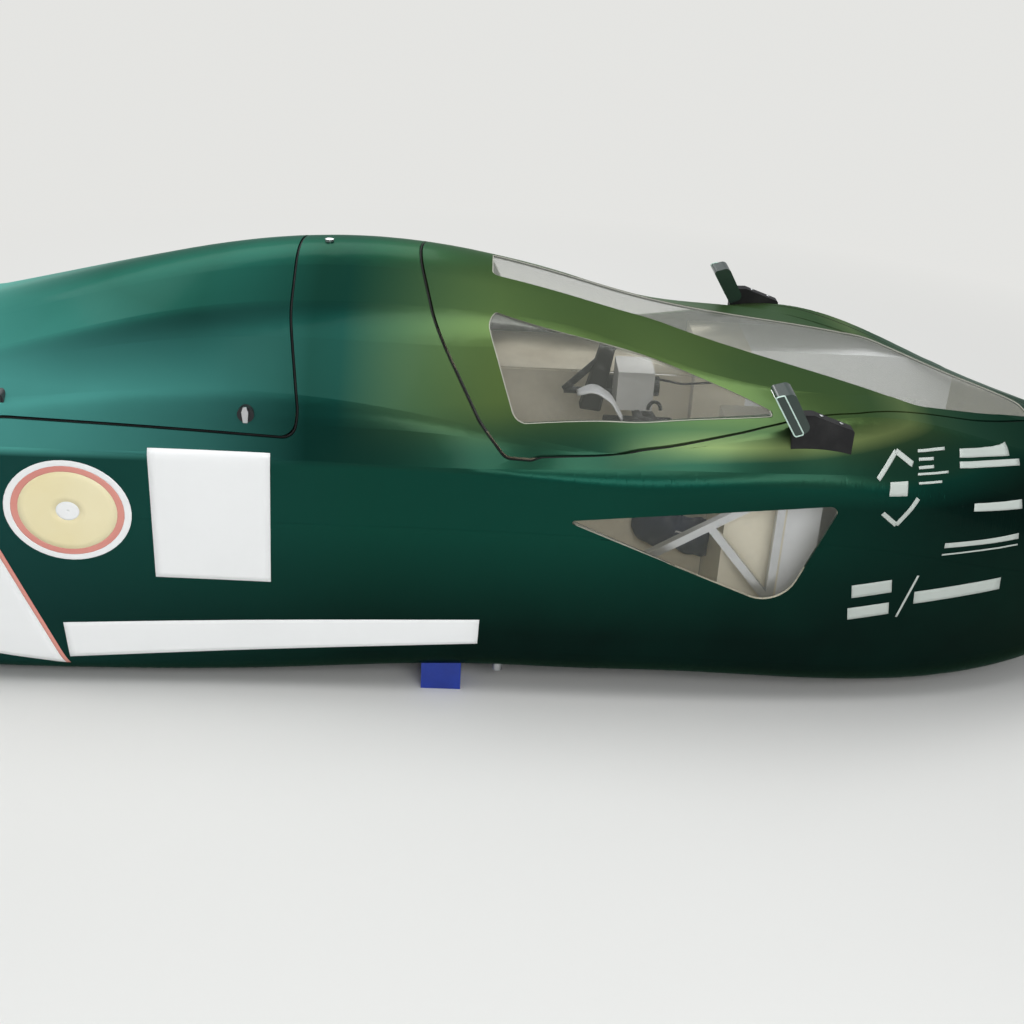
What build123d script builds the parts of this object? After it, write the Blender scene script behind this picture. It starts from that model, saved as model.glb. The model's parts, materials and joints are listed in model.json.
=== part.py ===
from build123d import *
import os
from math import radians, sin, sqrt, tan

os.makedirs("parts", exist_ok=True)

# A low three-wheeled streamliner for one lying driver: two steered wheels in front, one driven wheel behind.
# Millimetres. X runs from tail to nose, Y to the driver's left, Z up. The floor under the tyres is Z = 0.

# Driving dimensions: shells, panes and gaps
WALL = 6.0
PANE = 3.0
PANE_RECESS = 1.0
PANEL_GAP = 5.0
SEAT_GAP = 0.3
SKIN_GAP = 0.2
MOULD_SEAM = 1.0
CROWN_SHARE = 0.4
MOULD_CORNER = 3.0
REACH = 900.0
PROBE = 1.0

# Driving dimensions: wheels, axles and steering
WHEEL_RADIUS = 239.0
TYRE_WIDTH = 42.0
TYRE_DEPTH = 36.0
RIM_WIDTH = 28.0
RIM_DEPTH = 14.0
WEB = 8.0
HUB_RADIUS = 26.0
HUB_WIDTH = 60.0
AXLE_RADIUS = 7.5
SHAFT_PLAY = 0.08
END_PLAY = 0.5
AXLE_NUT_RADIUS = 12.0
AXLE_NUT = 8.0
FRONT_AXLE_X = 790.0
REAR_AXLE_X = -760.0
HALF_TRACK = 252.0
KINGPIN_Y = 202.0
KINGPIN_RADIUS = 8.0
BARREL_RADIUS = 15.0
BARREL_HALF = 42.0
LUG = 8.0
LUG_GAP = 1.0
COLUMN_Y = (168.0, 180.0)
COLUMN_HALF = 18.0
BEAM_Z = 60.0
BEAM_RADIUS = 16.0
SADDLE_Y = (90.0, 110.0)
STEER_ARM = 62.0
ARM_Z = (199.0, 209.0)
ARM_HALF = 7.0
ARM_END_RADIUS = 9.0
PIN_RADIUS = 4.0
PIN_TOP = 223.0
TIE_ROD_Z = (211.0, 219.0)
TIE_ROD_RADIUS = 6.0
TIE_EYE_RADIUS = 11.0
TIE_EYE_PLAY = 1.05
SLOT_FRONT_HALF = 156.0
SLOT_FRONT_Y = (200.0, 302.0)
SLOT_REAR_HALF = 143.0
SLOT_REAR_Y = 33.0
SLOT_TOP = 60.0
BOX_INNER_Y = (152.0, 156.0)
BOX_OUTER_Y = (324.0, 328.0)
BOX_X = (530.0, 534.0, 700.0, 1056.0, 1060.0)
BOX_TOP = (501.0, 505.0)

# Driving dimensions: rear frame and the heavy blocks
PLATE_Y = (36.0, 44.0)
COLLAR_RADIUS = 11.0
PLATE_SIDE = [(-1030, 20), (-1030, 112, 20), (-800, 285, 40), (-720, 285, 40), (-490, 112, 20), (-490, 20)]
CROSS_TIES = [(-1030, -1018), (-502, -490)]
CROSS_TIE_TOP = 90.0
MOTOR = ((-470, -330), (-70, 70), (15, 190))
BATTERY = ((-480, -230), (90, 300), (15, 200))

# Driving dimensions: seat, controls and cabin
SEAT_PATH = [(-56, 530), (332, 72, 60), (478, 66, 40), (580, 156)]
SEAT_THICK = 10.0
SEAT_HALF = 148.0
CUSHION_THICK = 24.0
CUSHION_HALF = 140.0
RUNNER_Y = (120.0, 140.0)
RUNNER_X = (335.0, 475.0)
BRACE_X = (-142.0, -30.0)
BRACE_Z = (478.0, 494.0)
BULKHEAD_X = (-150.0, -142.0)
POST = ((730, 0, 15), (400, 0, 440))
POST_RADIUS = 12.0
CROSSBAR = (392.0, 436.0)
CROSSBAR_HALF = 124.0
CROSSBAR_RADIUS = 9.0
STRUT = ((392, 60, 436), (255, 60, 440), (363, 60, 549))
STRUT_RADIUS = 7.0
GRIP_X = (322.0, 450.0)
GRIP_Y = 108.0
GRIP_RADIUS = 20.0
DISPLAY = ((350, 420), (-45, 45), (443, 520))
FOOT_REST = [(1070, 20), (1110, 270, 3), (1118, 268, 3), (1078, 20)]
FOOT_REST_HALF = 120.0
TRUSS_Y = 346.0
TRUSS_WIDTH = 16.0
TRUSS_DEPTH = 14.0
TRUSS_BARS = [((622, 15), (622, 440)), ((622, 430), (-40, 20)), ((500, 355), (620, 212))]

# Driving dimensions: fittings on the outside
MIRROR_Y = (330.0, 386.0)
MIRROR_HOUSING = [(574, 614, 6), (616, 546, 6), (644, 558, 12), (606, 624, 12)]
MIRROR_GLASS_Y = (335.0, 381.0)
MIRROR_FACE = ((577, 609), (613, 551))
MIRROR_GLASS = 3.0
FOOT_SIDE = [(618, 576, 4), (650, 577, 8), (722, 552, 6), (722, 500), (618, 500)]
FOOT_Y = (340.0, 364.0)
LATCHES = [(-300, 540, 14), (-715, 540, 11)]
LATCH_Y = 320.0
LATCH_PROUD = 5.0
STUD_X = -200.0
STUD_RADIUS = 8.0
STUD_PROUD = 4.0
BELLY_STUD = (140.0, 335.0, 9.0, 33.0)
PARKING_X = (0.0, 73.0)
PARKING_Y = (300.0, 360.0)

# Driving dimensions: hinges of canopy and rear hatch. Columns: axis x, lift over the body, ear start, ear end
CANOPY_HINGE = (1216.0, 11.0, 1204.0, 1228.0)
HATCH_HINGE = (-1142.0, 11.0, -1154.0, -1130.0)
HINGE_RADIUS = 7.0
HINGE_PIN = 3.0
TONGUE_HALF = 12.0
EAR_Y = (12.5, 20.0)
TONGUE_REACH = 44.0
TONGUE_SHARE = 0.6
TONGUE_LIFT = 3.0
EAR_DROP = 40.0

# Body stations. Columns: x, half floor, floor z, bilge r, half beam, beam z, beam r,
# half foot, foot z, foot r, half corner, corner z, corner r, crown z
STATIONS = [
    (-1560, 22, 232, 10, 34, 330, 10, 28, 372, 12, 20, 392, 10, 402),
    (-1350, 184, 100, 56, 216, 434, 16, 200, 452, 20, 142, 458, 40, 474),
    (-1000, 372, 14, 60, 376, 468, 12, 348, 506, 40, 236, 526, 110, 556),
    (-600, 388, 11, 60, 392, 470, 12, 360, 540, 80, 246, 620, 150, 675),
    (-200, 380, 26, 60, 390, 467, 14, 371, 552, 90, 248, 676, 170, 751),
    (60, 380, 44, 60, 395, 463, 20, 368, 527, 60, 232, 666, 160, 734),
    (270, 380, 44, 60, 399, 460, 30, 344, 486, 24, 190, 634, 110, 686),
    (480, 378, 44, 60, 400, 462, 40, 342, 505, 30, 216, 585, 80, 636),
    (700, 368, 34, 60, 400, 466, 50, 334, 552, 40, 226, 564, 60, 586),
    (930, 338, 22, 70, 376, 420, 90, 262, 512, 60, 130, 522, 60, 532),
    (1200, 254, 42, 76, 290, 330, 80, 178, 424, 60, 84, 446, 50, 450),
    (1440, 110, 128, 50, 140, 272, 44, 88, 324, 36, 44, 336, 30, 340),
    (1560, 28, 190, 14, 42, 246, 14, 28, 270, 12, 14, 277, 10, 279),
]
SPLIT_SHARE = 0.72

# The round ends: how far each step lies ahead of the last station, and how far its outline is drawn in
TIP_STEPS = [(0, 0), (14, 3), (24, 8)]

# Openings. The canopy is bounded by a seam in side view and one in plan, the hatch by its side view alone
CANOPY_SIDE = [
    (-50, 900), (-34, 742), (-2, 688, 60), (26, 640, 60), (90, 539, 60), (136, 486, 26), (200, 481),
    (700, 470), (700, 380), (1300, 380), (1300, 900),
]
CANOPY_PLAN_SIDE = [
    (-200, -450), (110, -450), (152, -384), (194, -367, 60), (367, -331, 200), (544, -328, 200),
    (600, -321, 60), (740, -290, 100), (1000, -152, 300), (1190, -34, 30),
]
HATCH_SIDE = [
    (-290, 900), (-216, 548, 80), (-222, 507, 26), (-700, 520, 200), (-1100, 500, 12), (-1126, 516),
    (-1126, 900),
]
SIDE_WINDOW = [(91, 678, 12), (608, 549, 3), (367, 520, 400), (150, 528, 30)]
SIDE_WINDOW_Y = 70.0
SCREEN_SIDE = [(102, -66, 14), (400, -66, 200), (880, -188, 60), (1156, -42, 40)]
SCREEN_Z = 300.0
LOWER_WINDOW = [(243, 376, 4), (714, 427, 14), (636, 213, 60)]
LOWER_WINDOW_Y = 250.0


def fillet_corner(before, corner, after, radius):
    """The start, middle and finish of the arc that rounds one corner of an outline."""
    back = (before - corner).normalized()
    ahead = (after - corner).normalized()
    half = radians(back.get_angle(ahead)) / 2
    if radius is None:
        reach = CROWN_SHARE * (before - corner).length
        radius = reach * tan(half)
    else:
        reach = radius / tan(half)
    middle = corner + (back + ahead).normalized() * (radius / sin(half) - radius)
    return corner + back * reach, middle, corner + ahead * reach


def moved_in(points, inset):
    """An open outline moved inward by inset, and the sign of each turn: 1 where it bulges out."""
    normals = []
    for a, b in zip(points, points[1:]):
        run = (b - a).normalized()
        normals.append(Vector(0, -run.Z, run.Y))
    moved = [points[0] + normals[0] * inset]
    turns = [1]
    for i in range(1, len(points) - 1):
        share = inset / (1 + normals[i - 1].dot(normals[i]))
        moved.append(points[i] + (normals[i - 1] + normals[i]) * share)
        ahead = points[i + 1] - points[i]
        turns.append(1 if normals[i - 1].dot(ahead) > 0 else -1)
    moved.append(points[-1] + normals[-1] * inset)
    turns.append(1)
    return moved, turns


def path_edges(corners, inset, x):
    """Lines and arcs along an open outline in the plane X = x, moved inward by inset."""
    points = [Vector(0, y, z) for y, z, _ in corners]
    moved, turns = moved_in(points, inset)
    shift = Vector(x, 0, 0)
    edges = []
    at = moved[0]
    for i in range(1, len(moved) - 1):
        radius = corners[i][2]
        if radius is not None:
            radius = max(radius - turns[i] * inset, MOULD_CORNER)
        start, middle, finish = fillet_corner(moved[i - 1], moved[i], moved[i + 1], radius)
        edges.append(Line(at + shift, start + shift))
        edges.append(ThreePointArc(start + shift, middle + shift, finish + shift))
        at = finish
    edges.append(Line(at + shift, moved[-1] + shift))
    return edges, moved[0] + shift, moved[-1] + shift


def mirrored(side):
    return side + [(-y, z, r) for y, z, r in reversed(side) if y > 0]


def split_point(station, drop=0.0):
    """Where the side changes from the lower to the upper moulding, or a little lower."""
    _, floor, floor_z, _, beam, beam_z = station[:6]
    run = Vector(beam - floor, beam_z - floor_z)
    spot = Vector(floor, floor_z) + run * SPLIT_SHARE - run.normalized() * drop
    return spot.X, spot.Y


def lower_outline(station, drop=0.0):
    floor, floor_z, bilge_r = station[1:4]
    side_y, side_z = split_point(station, drop)
    return mirrored([(side_y, side_z, 0), (floor, floor_z, bilge_r)])[::-1]


def lower_moulding(station):
    """The lower moulding stops short of the upper one by the seam between them."""
    return lower_outline(station, MOULD_SEAM)


def upper_outline(station):
    beam, beam_z, beam_r, foot, foot_z, foot_r, corner, corner_z, corner_r, crown_z = station[4:]
    side_y, side_z = split_point(station)
    side = [(side_y, side_z, 0), (beam, beam_z, beam_r), (foot, foot_z, foot_r)]
    return mirrored(side + [(corner, corner_z, corner_r), (0, crown_z, None)])


def wall_loft(outline, outside, inside):
    """A moulding whose wall lies between two depths under the body's outer surface."""
    loops = []
    for station in STATIONS:
        outer, outer_start, outer_end = path_edges(outline(station), outside, station[0])
        inner, inner_start, inner_end = path_edges(outline(station), inside, station[0])
        joints = [Line(outer_end, inner_end), Line(inner_start, outer_start)]
        loops.append(Wire(outer + inner + joints))
    return Solid.make_loft(loops)


def filled_loft(inset):
    """Everything that lies deeper than inset under the outer surface, as one block."""
    loops = []
    for station in STATIONS:
        lower, _, _ = path_edges(lower_outline(station), inset, station[0])
        upper, _, _ = path_edges(upper_outline(station), inset, station[0])
        loops.append(Wire(lower + upper))
    return Solid.make_loft(loops)


def tip_cap(station, direction):
    """The solid end of the body: the last outline, drawn in step by step to a round point."""
    loops = []
    for forward, inset in TIP_STEPS:
        x = station[0] + direction * forward
        lower, _, _ = path_edges(lower_outline(station), inset, x)
        upper, _, _ = path_edges(upper_outline(station), inset, x)
        loops.append(Wire(lower + upper))
    return Solid.make_loft(loops)


def prism(view, corners, start, stop):
    """A straight block with a rounded outline. Side outlines are (x, z), plan (x, y) and front (y, z)."""
    place = {
        "side": lambda v, at: Vector(v.X, at, v.Y),
        "plan": lambda v, at: Vector(v.X, v.Y, at),
        "front": lambda v, at: Vector(at, v.X, v.Y),
    }[view]
    run = {"side": Vector(0, 1, 0), "plan": Vector(0, 0, 1), "front": Vector(1, 0, 0)}[view] * (stop - start)
    points = [Vector(corner[0], corner[1], 0) for corner in corners]
    ends = []
    arcs = []
    for i, corner in enumerate(corners):
        after = points[(i + 1) % len(points)]
        if len(corner) == 2:
            ends.append((points[i], points[i]))
            continue
        first, middle, last = fillet_corner(points[i - 1], points[i], after, corner[2])
        ends.append((first, last))
        arcs.append(ThreePointArc(place(first, start), place(middle, start), place(last, start)))
    lines = []
    for i in range(len(points)):
        lines.append(Line(place(ends[i - 1][1], start), place(ends[i][0], start)))
    return Solid.extrude(Face(Wire(lines + arcs)), run)


def block(x, y, z):
    """A plain block from three (low, high) pairs."""
    corner = Location((x[0], y[0], z[0]))
    return corner * Solid.make_box(x[1] - x[0], y[1] - y[0], z[1] - z[0])


def rod(start, end, radius):
    run = Vector(*end) - Vector(*start)
    return Solid.make_cylinder(radius, run.length, Plane(origin=start, z_dir=run))


def bar(start, end, width, depth):
    """A beam of rectangular section whose centre line lies in a plane of constant Y."""
    run = Vector(*end) - Vector(*start)
    plane = Plane(origin=start, x_dir=(0, 1, 0), z_dir=run)
    outline = Face.make_rect(width, depth, plane)
    return Solid.extrude(outline, run)


def both_sides(shape):
    return shape.fuse(mirror(shape, about=Plane.XZ))


def surface_height(x):
    """The height of the roof over one spot of the centre line."""
    core = block((x - PROBE, x + PROBE), (-PROBE, PROBE), (0, REACH))
    return (skin & core).bounding_box().max.Z


def grown(corners, gap):
    """An outline with its sides moved out by a gap."""
    count = len(corners)
    points = [Vector(corner[0], corner[1], 0) for corner in corners]
    spin = sum(points[i - 1].cross(points[i]).Z for i in range(count))
    side = 1 if spin > 0 else -1
    moved = []
    for i in range(count):
        before = (points[i] - points[i - 1]).normalized()
        after = (points[(i + 1) % count] - points[i]).normalized()
        out_before = Vector(before.Y, -before.X, 0) * side
        out_after = Vector(after.Y, -after.X, 0) * side
        spot = points[i] + (out_before + out_after) * (gap / (1 + out_before.dot(out_after)))
        moved.append((spot.X, spot.Y) + tuple(corners[i][2:]))
    return moved


def whole_plan(side):
    """A plan outline from its right half."""
    return side + [(corner[0], -corner[1]) + corner[2:] for corner in reversed(side)]


def region(side, plan, gap):
    space = prism("side", grown(side, gap), -REACH, REACH)
    if plan:
        space = space & prism("plan", grown(plan, gap), 0, REACH)
    return space


def pane(cut):
    """The clear pane in one opening, a little under the outer surface."""
    return (glass_outside & cut) - glass_inside


parts = {}

# Outer body: lower and upper mouldings, the canopy, the rear hatch and their panes
lower = wall_loft(lower_moulding, 0, WALL)
upper = wall_loft(upper_outline, 0, WALL)
glass_outside = filled_loft(PANE_RECESS)
glass_inside = filled_loft(PANE_RECESS + PANE)
cabin = filled_loft(WALL + SEAT_GAP)
skin = filled_loft(-SKIN_GAP)

canopy_plan = whole_plan(CANOPY_PLAN_SIDE)
canopy = upper & region(CANOPY_SIDE, canopy_plan, 0)
hatch = upper & region(HATCH_SIDE, None, 0)
body_top = upper - region(CANOPY_SIDE, canopy_plan, PANEL_GAP) - region(HATCH_SIDE, None, PANEL_GAP)

screen_cut = prism("plan", whole_plan(SCREEN_SIDE), SCREEN_Z, REACH)
parts["windscreen"] = pane(screen_cut)
canopy = canopy - screen_cut
for side, sign in (("right", -1), ("left", 1)):
    across = sorted((sign * SIDE_WINDOW_Y, sign * REACH))
    window_cut = prism("side", SIDE_WINDOW, *across)
    parts["canopy_window_" + side] = pane(window_cut)
    canopy = canopy - window_cut

# The lower windows sit across the seam of the two mouldings
for side, sign in (("right", -1), ("left", 1)):
    across = sorted((sign * LOWER_WINDOW_Y, sign * REACH))
    window_cut = prism("side", LOWER_WINDOW, *across)
    parts["lower_window_" + side] = pane(window_cut)
    lower = lower - window_cut
    body_top = body_top - window_cut

# Slots in the floor let the tyres through
along = (REAR_AXLE_X - SLOT_REAR_HALF, REAR_AXLE_X + SLOT_REAR_HALF)
slots = [block(along, (-SLOT_REAR_Y, SLOT_REAR_Y), (0, SLOT_TOP))]
along = (FRONT_AXLE_X - SLOT_FRONT_HALF, FRONT_AXLE_X + SLOT_FRONT_HALF)
for sign in (-1, 1):
    across = sorted((sign * SLOT_FRONT_Y[0], sign * SLOT_FRONT_Y[1]))
    slots.append(block(along, across, (0, SLOT_TOP)))
for slot in slots:
    lower = lower - slot


def hinge(row, toward):
    """A door's barrel and tongue, and the fixed ears and pin. The tongue points toward the door."""
    x, lift, ear_start, ear_end = row
    rise_x = x + toward * TONGUE_REACH * TONGUE_SHARE
    end_x = x + toward * TONGUE_REACH
    z = surface_height(x) + lift
    rise_z = surface_height(rise_x)
    end_z = surface_height(end_x)
    tongue = prism("side", [
        (x, z), (x, z + HINGE_RADIUS), (end_x, end_z + HINGE_RADIUS), (end_x, end_z - WALL / 2),
        (rise_x, rise_z - WALL / 2), (rise_x, rise_z + TONGUE_LIFT),
    ], -TONGUE_HALF, TONGUE_HALF)
    tongue = tongue.fuse(rod((x, -TONGUE_HALF, z), (x, TONGUE_HALF, z), HINGE_RADIUS))
    pin_start = (x, -EAR_Y[1], z)
    pin_end = (x, EAR_Y[1], z)
    ear = rod((x, EAR_Y[0], z), (x, EAR_Y[1], z), HINGE_RADIUS)
    ear = ear.fuse(block((ear_start, ear_end), EAR_Y, (z - EAR_DROP, z)))
    ears = both_sides(ear).fuse(rod(pin_start, pin_end, HINGE_PIN)) - skin
    return tongue - rod(pin_start, pin_end, HINGE_PIN + SHAFT_PLAY), ears


tongue, parts["canopy_hinge"] = hinge(CANOPY_HINGE, -1)
canopy = canopy.fuse(tongue)
tongue, parts["hatch_hinge"] = hinge(HATCH_HINGE, 1)
hatch = hatch.fuse(tongue)

parts["lower_shell"] = lower
parts["body_top"] = body_top
parts["canopy"] = canopy
parts["rear_hatch"] = hatch
parts["nose_tip"] = tip_cap(STATIONS[-1], 1)
parts["tail_tip"] = tip_cap(STATIONS[0], -1)


# Wheels, turned about their axles
def turned(corners, x, y):
    """A ring or disc about an axle along Y. Corners are (radius, offset along the axle)."""
    points = [(x, y + offset, WHEEL_RADIUS + radius) for radius, offset in corners]
    return Solid.revolve(Face(Wire.make_polygon(points)), 360, Axis((x, y, WHEEL_RADIUS), (0, 1, 0)))


def tyre(x, y):
    section = TYRE_WIDTH / 2
    bead = sqrt(section**2 - (TYRE_DEPTH - section)**2)
    low = 2 * WHEEL_RADIUS - TYRE_DEPTH
    near, far = Vector(x, y - bead, low), Vector(x, y + bead, low)
    arc = ThreePointArc(near, Vector(x, y, 2 * WHEEL_RADIUS), far)
    return Solid.revolve(Face(Wire([arc, Line(far, near)])), 360, Axis((x, y, WHEEL_RADIUS), (0, 1, 0)))


rim_outer = WHEEL_RADIUS - TYRE_DEPTH
rim_inner = rim_outer - RIM_DEPTH
bore = AXLE_RADIUS + SHAFT_PLAY
wheel_half = [
    (bore, HUB_WIDTH / 2), (HUB_RADIUS, HUB_WIDTH / 2), (HUB_RADIUS + WEB, WEB / 2), (rim_inner, WEB / 2),
    (rim_inner, RIM_WIDTH / 2), (rim_outer, RIM_WIDTH / 2),
]
wheel_outline = wheel_half + [(radius, -offset) for radius, offset in reversed(wheel_half)]
WHEELS = [
    ("front_left", FRONT_AXLE_X, HALF_TRACK),
    ("front_right", FRONT_AXLE_X, -HALF_TRACK),
    ("rear", REAR_AXLE_X, 0),
]
for name, x, y in WHEELS:
    parts["tyre_" + name] = tyre(x, y)
    parts["wheel_" + name] = turned(wheel_outline, x, y)

# Steering knuckle: barrel on the kingpin, stub axle with its nut, and the arm for the tie rod
x, z = FRONT_AXLE_X, WHEEL_RADIUS
hub_face = HALF_TRACK - HUB_WIDTH / 2
hub_end = HALF_TRACK + HUB_WIDTH / 2 + END_PLAY
arm_x = x - STEER_ARM
knuckle = rod((x, KINGPIN_Y, z - BARREL_HALF), (x, KINGPIN_Y, z + BARREL_HALF), BARREL_RADIUS)
knuckle = knuckle.fuse(rod((x, KINGPIN_Y, z), (x, hub_face - END_PLAY, z), AXLE_NUT_RADIUS))
knuckle = knuckle.fuse(rod((x, KINGPIN_Y, z), (x, hub_end + AXLE_NUT, z), AXLE_RADIUS))
knuckle = knuckle.fuse(rod((x, hub_end, z), (x, hub_end + AXLE_NUT, z), AXLE_NUT_RADIUS))
knuckle = knuckle.fuse(block((arm_x, x), (KINGPIN_Y - ARM_HALF, KINGPIN_Y + ARM_HALF), ARM_Z))
knuckle = knuckle.fuse(rod((arm_x, KINGPIN_Y, ARM_Z[0]), (arm_x, KINGPIN_Y, ARM_Z[1]), ARM_END_RADIUS))
knuckle = knuckle.fuse(rod((arm_x, KINGPIN_Y, ARM_Z[0]), (arm_x, KINGPIN_Y, PIN_TOP), PIN_RADIUS))
knuckle = knuckle - rod((x, KINGPIN_Y, 0), (x, KINGPIN_Y, REACH), KINGPIN_RADIUS + SHAFT_PLAY)
parts["knuckle_left"] = knuckle
parts["knuckle_right"] = mirror(knuckle, about=Plane.XZ)

# Front axle beam: a cross tube on two saddles, a column on each side with two lugs and the kingpin
lug_low = z - BARREL_HALF - LUG_GAP - LUG
lug_high = z + BARREL_HALF + LUG_GAP + LUG
arch = block((x - COLUMN_HALF, x + COLUMN_HALF), COLUMN_Y, (BEAM_Z - BEAM_RADIUS, lug_high))
for low in (lug_low, lug_high - LUG):
    lug = block((x - BARREL_RADIUS, x + BARREL_RADIUS), (COLUMN_Y[0], KINGPIN_Y), (low, low + LUG))
    arch = arch.fuse(lug)
    arch = arch.fuse(rod((x, KINGPIN_Y, low), (x, KINGPIN_Y, low + LUG), BARREL_RADIUS))
arch = arch.fuse(rod((x, KINGPIN_Y, lug_low - LUG / 2), (x, KINGPIN_Y, lug_high + LUG / 2), KINGPIN_RADIUS))
saddle = block((x - COLUMN_HALF, x + COLUMN_HALF), SADDLE_Y, (0, BEAM_Z)) & cabin
beam = rod((x, -COLUMN_Y[0], BEAM_Z), (x, COLUMN_Y[0], BEAM_Z), BEAM_RADIUS)
for piece in (arch, saddle):
    beam = beam.fuse(piece).fuse(mirror(piece, about=Plane.XZ))
parts["front_axle_beam"] = beam

middle_z = (TIE_ROD_Z[0] + TIE_ROD_Z[1]) / 2
tie_rod = rod((arm_x, -KINGPIN_Y, middle_z), (arm_x, KINGPIN_Y, middle_z), TIE_ROD_RADIUS)
for spot in (-KINGPIN_Y, KINGPIN_Y):
    tie_rod = tie_rod.fuse(rod((arm_x, spot, TIE_ROD_Z[0]), (arm_x, spot, TIE_ROD_Z[1]), TIE_EYE_RADIUS))
    tie_rod = tie_rod - rod((arm_x, spot, 0), (arm_x, spot, REACH), PIN_RADIUS + TIE_EYE_PLAY)
parts["tie_rod"] = tie_rod

# Wheel boxes keep the tyres out of the cabin
rear_x, rear_inside, outer_end, front_inside, front_x = BOX_X
walls = [
    block((rear_x, front_x), BOX_INNER_Y, (0, BOX_TOP[1])),
    block((rear_x, rear_inside), (BOX_INNER_Y[0], BOX_OUTER_Y[1]), (0, BOX_TOP[1])),
    block((rear_x, outer_end), BOX_OUTER_Y, (0, BOX_TOP[1])),
    block((front_inside, front_x), (BOX_INNER_Y[0], REACH), (0, BOX_TOP[1])),
    block((rear_x, front_x), (BOX_INNER_Y[0], BOX_OUTER_Y[1]), BOX_TOP),
]
wheel_box = walls[0].fuse(*walls[1:]) & cabin
for across, height, radius in ((x, BEAM_Z, BEAM_RADIUS), (arm_x, middle_z, TIE_EYE_RADIUS)):
    wheel_box = wheel_box - rod((across, 0, height), (across, BOX_INNER_Y[1] + LUG, height), radius + END_PLAY)
wheel_box = wheel_box - slots[2]
parts["wheel_box_left"] = wheel_box
parts["wheel_box_right"] = mirror(wheel_box, about=Plane.XZ)

# Rear frame: two plates with cross ties, the axle between them and its collars
x = REAR_AXLE_X
plate = prism("side", PLATE_SIDE, *PLATE_Y)
frame = plate.fuse(mirror(plate, about=Plane.XZ))
for start, end in CROSS_TIES:
    frame = frame.fuse(block((start, end), (-PLATE_Y[1], PLATE_Y[1]), (0, CROSS_TIE_TOP)))
frame = frame & cabin
nut_y = PLATE_Y[1] + AXLE_NUT
frame = frame.fuse(rod((x, -nut_y, z), (x, nut_y, z), AXLE_RADIUS))
for sign in (-1, 1):
    frame = frame.fuse(rod((x, sign * (HUB_WIDTH / 2 + END_PLAY), z), (x, sign * PLATE_Y[0], z), COLLAR_RADIUS))
    frame = frame.fuse(rod((x, sign * PLATE_Y[1], z), (x, sign * nut_y, z), AXLE_NUT_RADIUS))
parts["rear_frame"] = frame
parts["motor_block"] = block(*MOTOR) & cabin
parts["battery_box"] = block(*BATTERY) & cabin


# Cabin: seat, bulkhead, trusses, controls and foot rest
def band(path, thickness):
    """An outline that follows a side view path, with the other edge moved by thickness."""
    points = [Vector(0, corner[0], corner[1]) for corner in path]
    moved, _ = moved_in(points, thickness)
    other = [(spot.Y, spot.Z) + tuple(corner[2:]) for spot, corner in zip(moved, path)]
    return list(path) + other[::-1]


seat = prism("side", band(SEAT_PATH, -SEAT_THICK), -SEAT_HALF, SEAT_HALF)
runner = block(RUNNER_X, RUNNER_Y, (0, SEAT_PATH[2][1] - SEAT_THICK / 2)) & cabin
back_top, back_foot = SEAT_PATH[0], SEAT_PATH[1][:2]
brace = block(BRACE_X, RUNNER_Y, BRACE_Z)
brace = brace - prism("side", [back_top, back_foot, (back_foot[0], back_top[1])], -REACH, REACH)
for piece in (runner, brace):
    seat = seat.fuse(piece).fuse(mirror(piece, about=Plane.XZ))
parts["seat_pan"] = seat
parts["seat_cushion"] = prism("side", band(SEAT_PATH, CUSHION_THICK), -CUSHION_HALF, CUSHION_HALF)
parts["bulkhead"] = block(BULKHEAD_X, (-REACH, REACH), (0, REACH)) & cabin

truss = None
for start, end in TRUSS_BARS:
    piece = bar((start[0], TRUSS_Y, start[1]), (end[0], TRUSS_Y, end[1]), TRUSS_WIDTH, TRUSS_DEPTH)
    truss = piece if truss is None else truss.fuse(piece)
truss = truss & cabin
parts["side_truss_left"] = truss
parts["side_truss_right"] = mirror(truss, about=Plane.XZ)

post = rod(*POST, POST_RADIUS) & cabin
bar_x, bar_z = CROSSBAR
crossbar = rod((bar_x, -CROSSBAR_HALF, bar_z), (bar_x, CROSSBAR_HALF, bar_z), CROSSBAR_RADIUS)
post = post.fuse(crossbar)
for start, end in zip(STRUT, STRUT[1:]):
    post = post.fuse(rod(start, end, STRUT_RADIUS))
grip = rod((GRIP_X[0], GRIP_Y, bar_z), (GRIP_X[1], GRIP_Y, bar_z), GRIP_RADIUS) - crossbar
display = block(*DISPLAY)
post = post - display
parts["control_post"] = post
parts["grips"] = both_sides(grip)
parts["display_box"] = display
parts["foot_rest"] = prism("side", FOOT_REST, -FOOT_REST_HALF, FOOT_REST_HALF) & cabin

# Mirrors, latches, studs and the two blocks it stands on when parked
glass_start, glass_end = MIRROR_FACE
housing = prism("side", MIRROR_HOUSING, *MIRROR_Y)
glass = prism("side", band([glass_start, glass_end], MIRROR_GLASS), *MIRROR_GLASS_Y)
foot = prism("side", FOOT_SIDE, *FOOT_Y) - skin - housing
for name, shape in (("foot", foot), ("housing", housing - glass)):
    parts["mirror_" + name + "_left"] = shape
    parts["mirror_" + name + "_right"] = mirror(shape, about=Plane.XZ)
parts["mirror_glasses"] = both_sides(glass)

latches = []
for at_x, at_z, radius in LATCHES:
    core = rod((at_x, 0, at_z), (at_x, REACH, at_z), PROBE) & skin
    face_y = core.bounding_box().max.Y + LATCH_PROUD
    latches.append(rod((at_x, LATCH_Y, at_z), (at_x, face_y, at_z), radius) - skin)
parts["hatch_latches"] = both_sides(latches[0].fuse(latches[1]))

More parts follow.
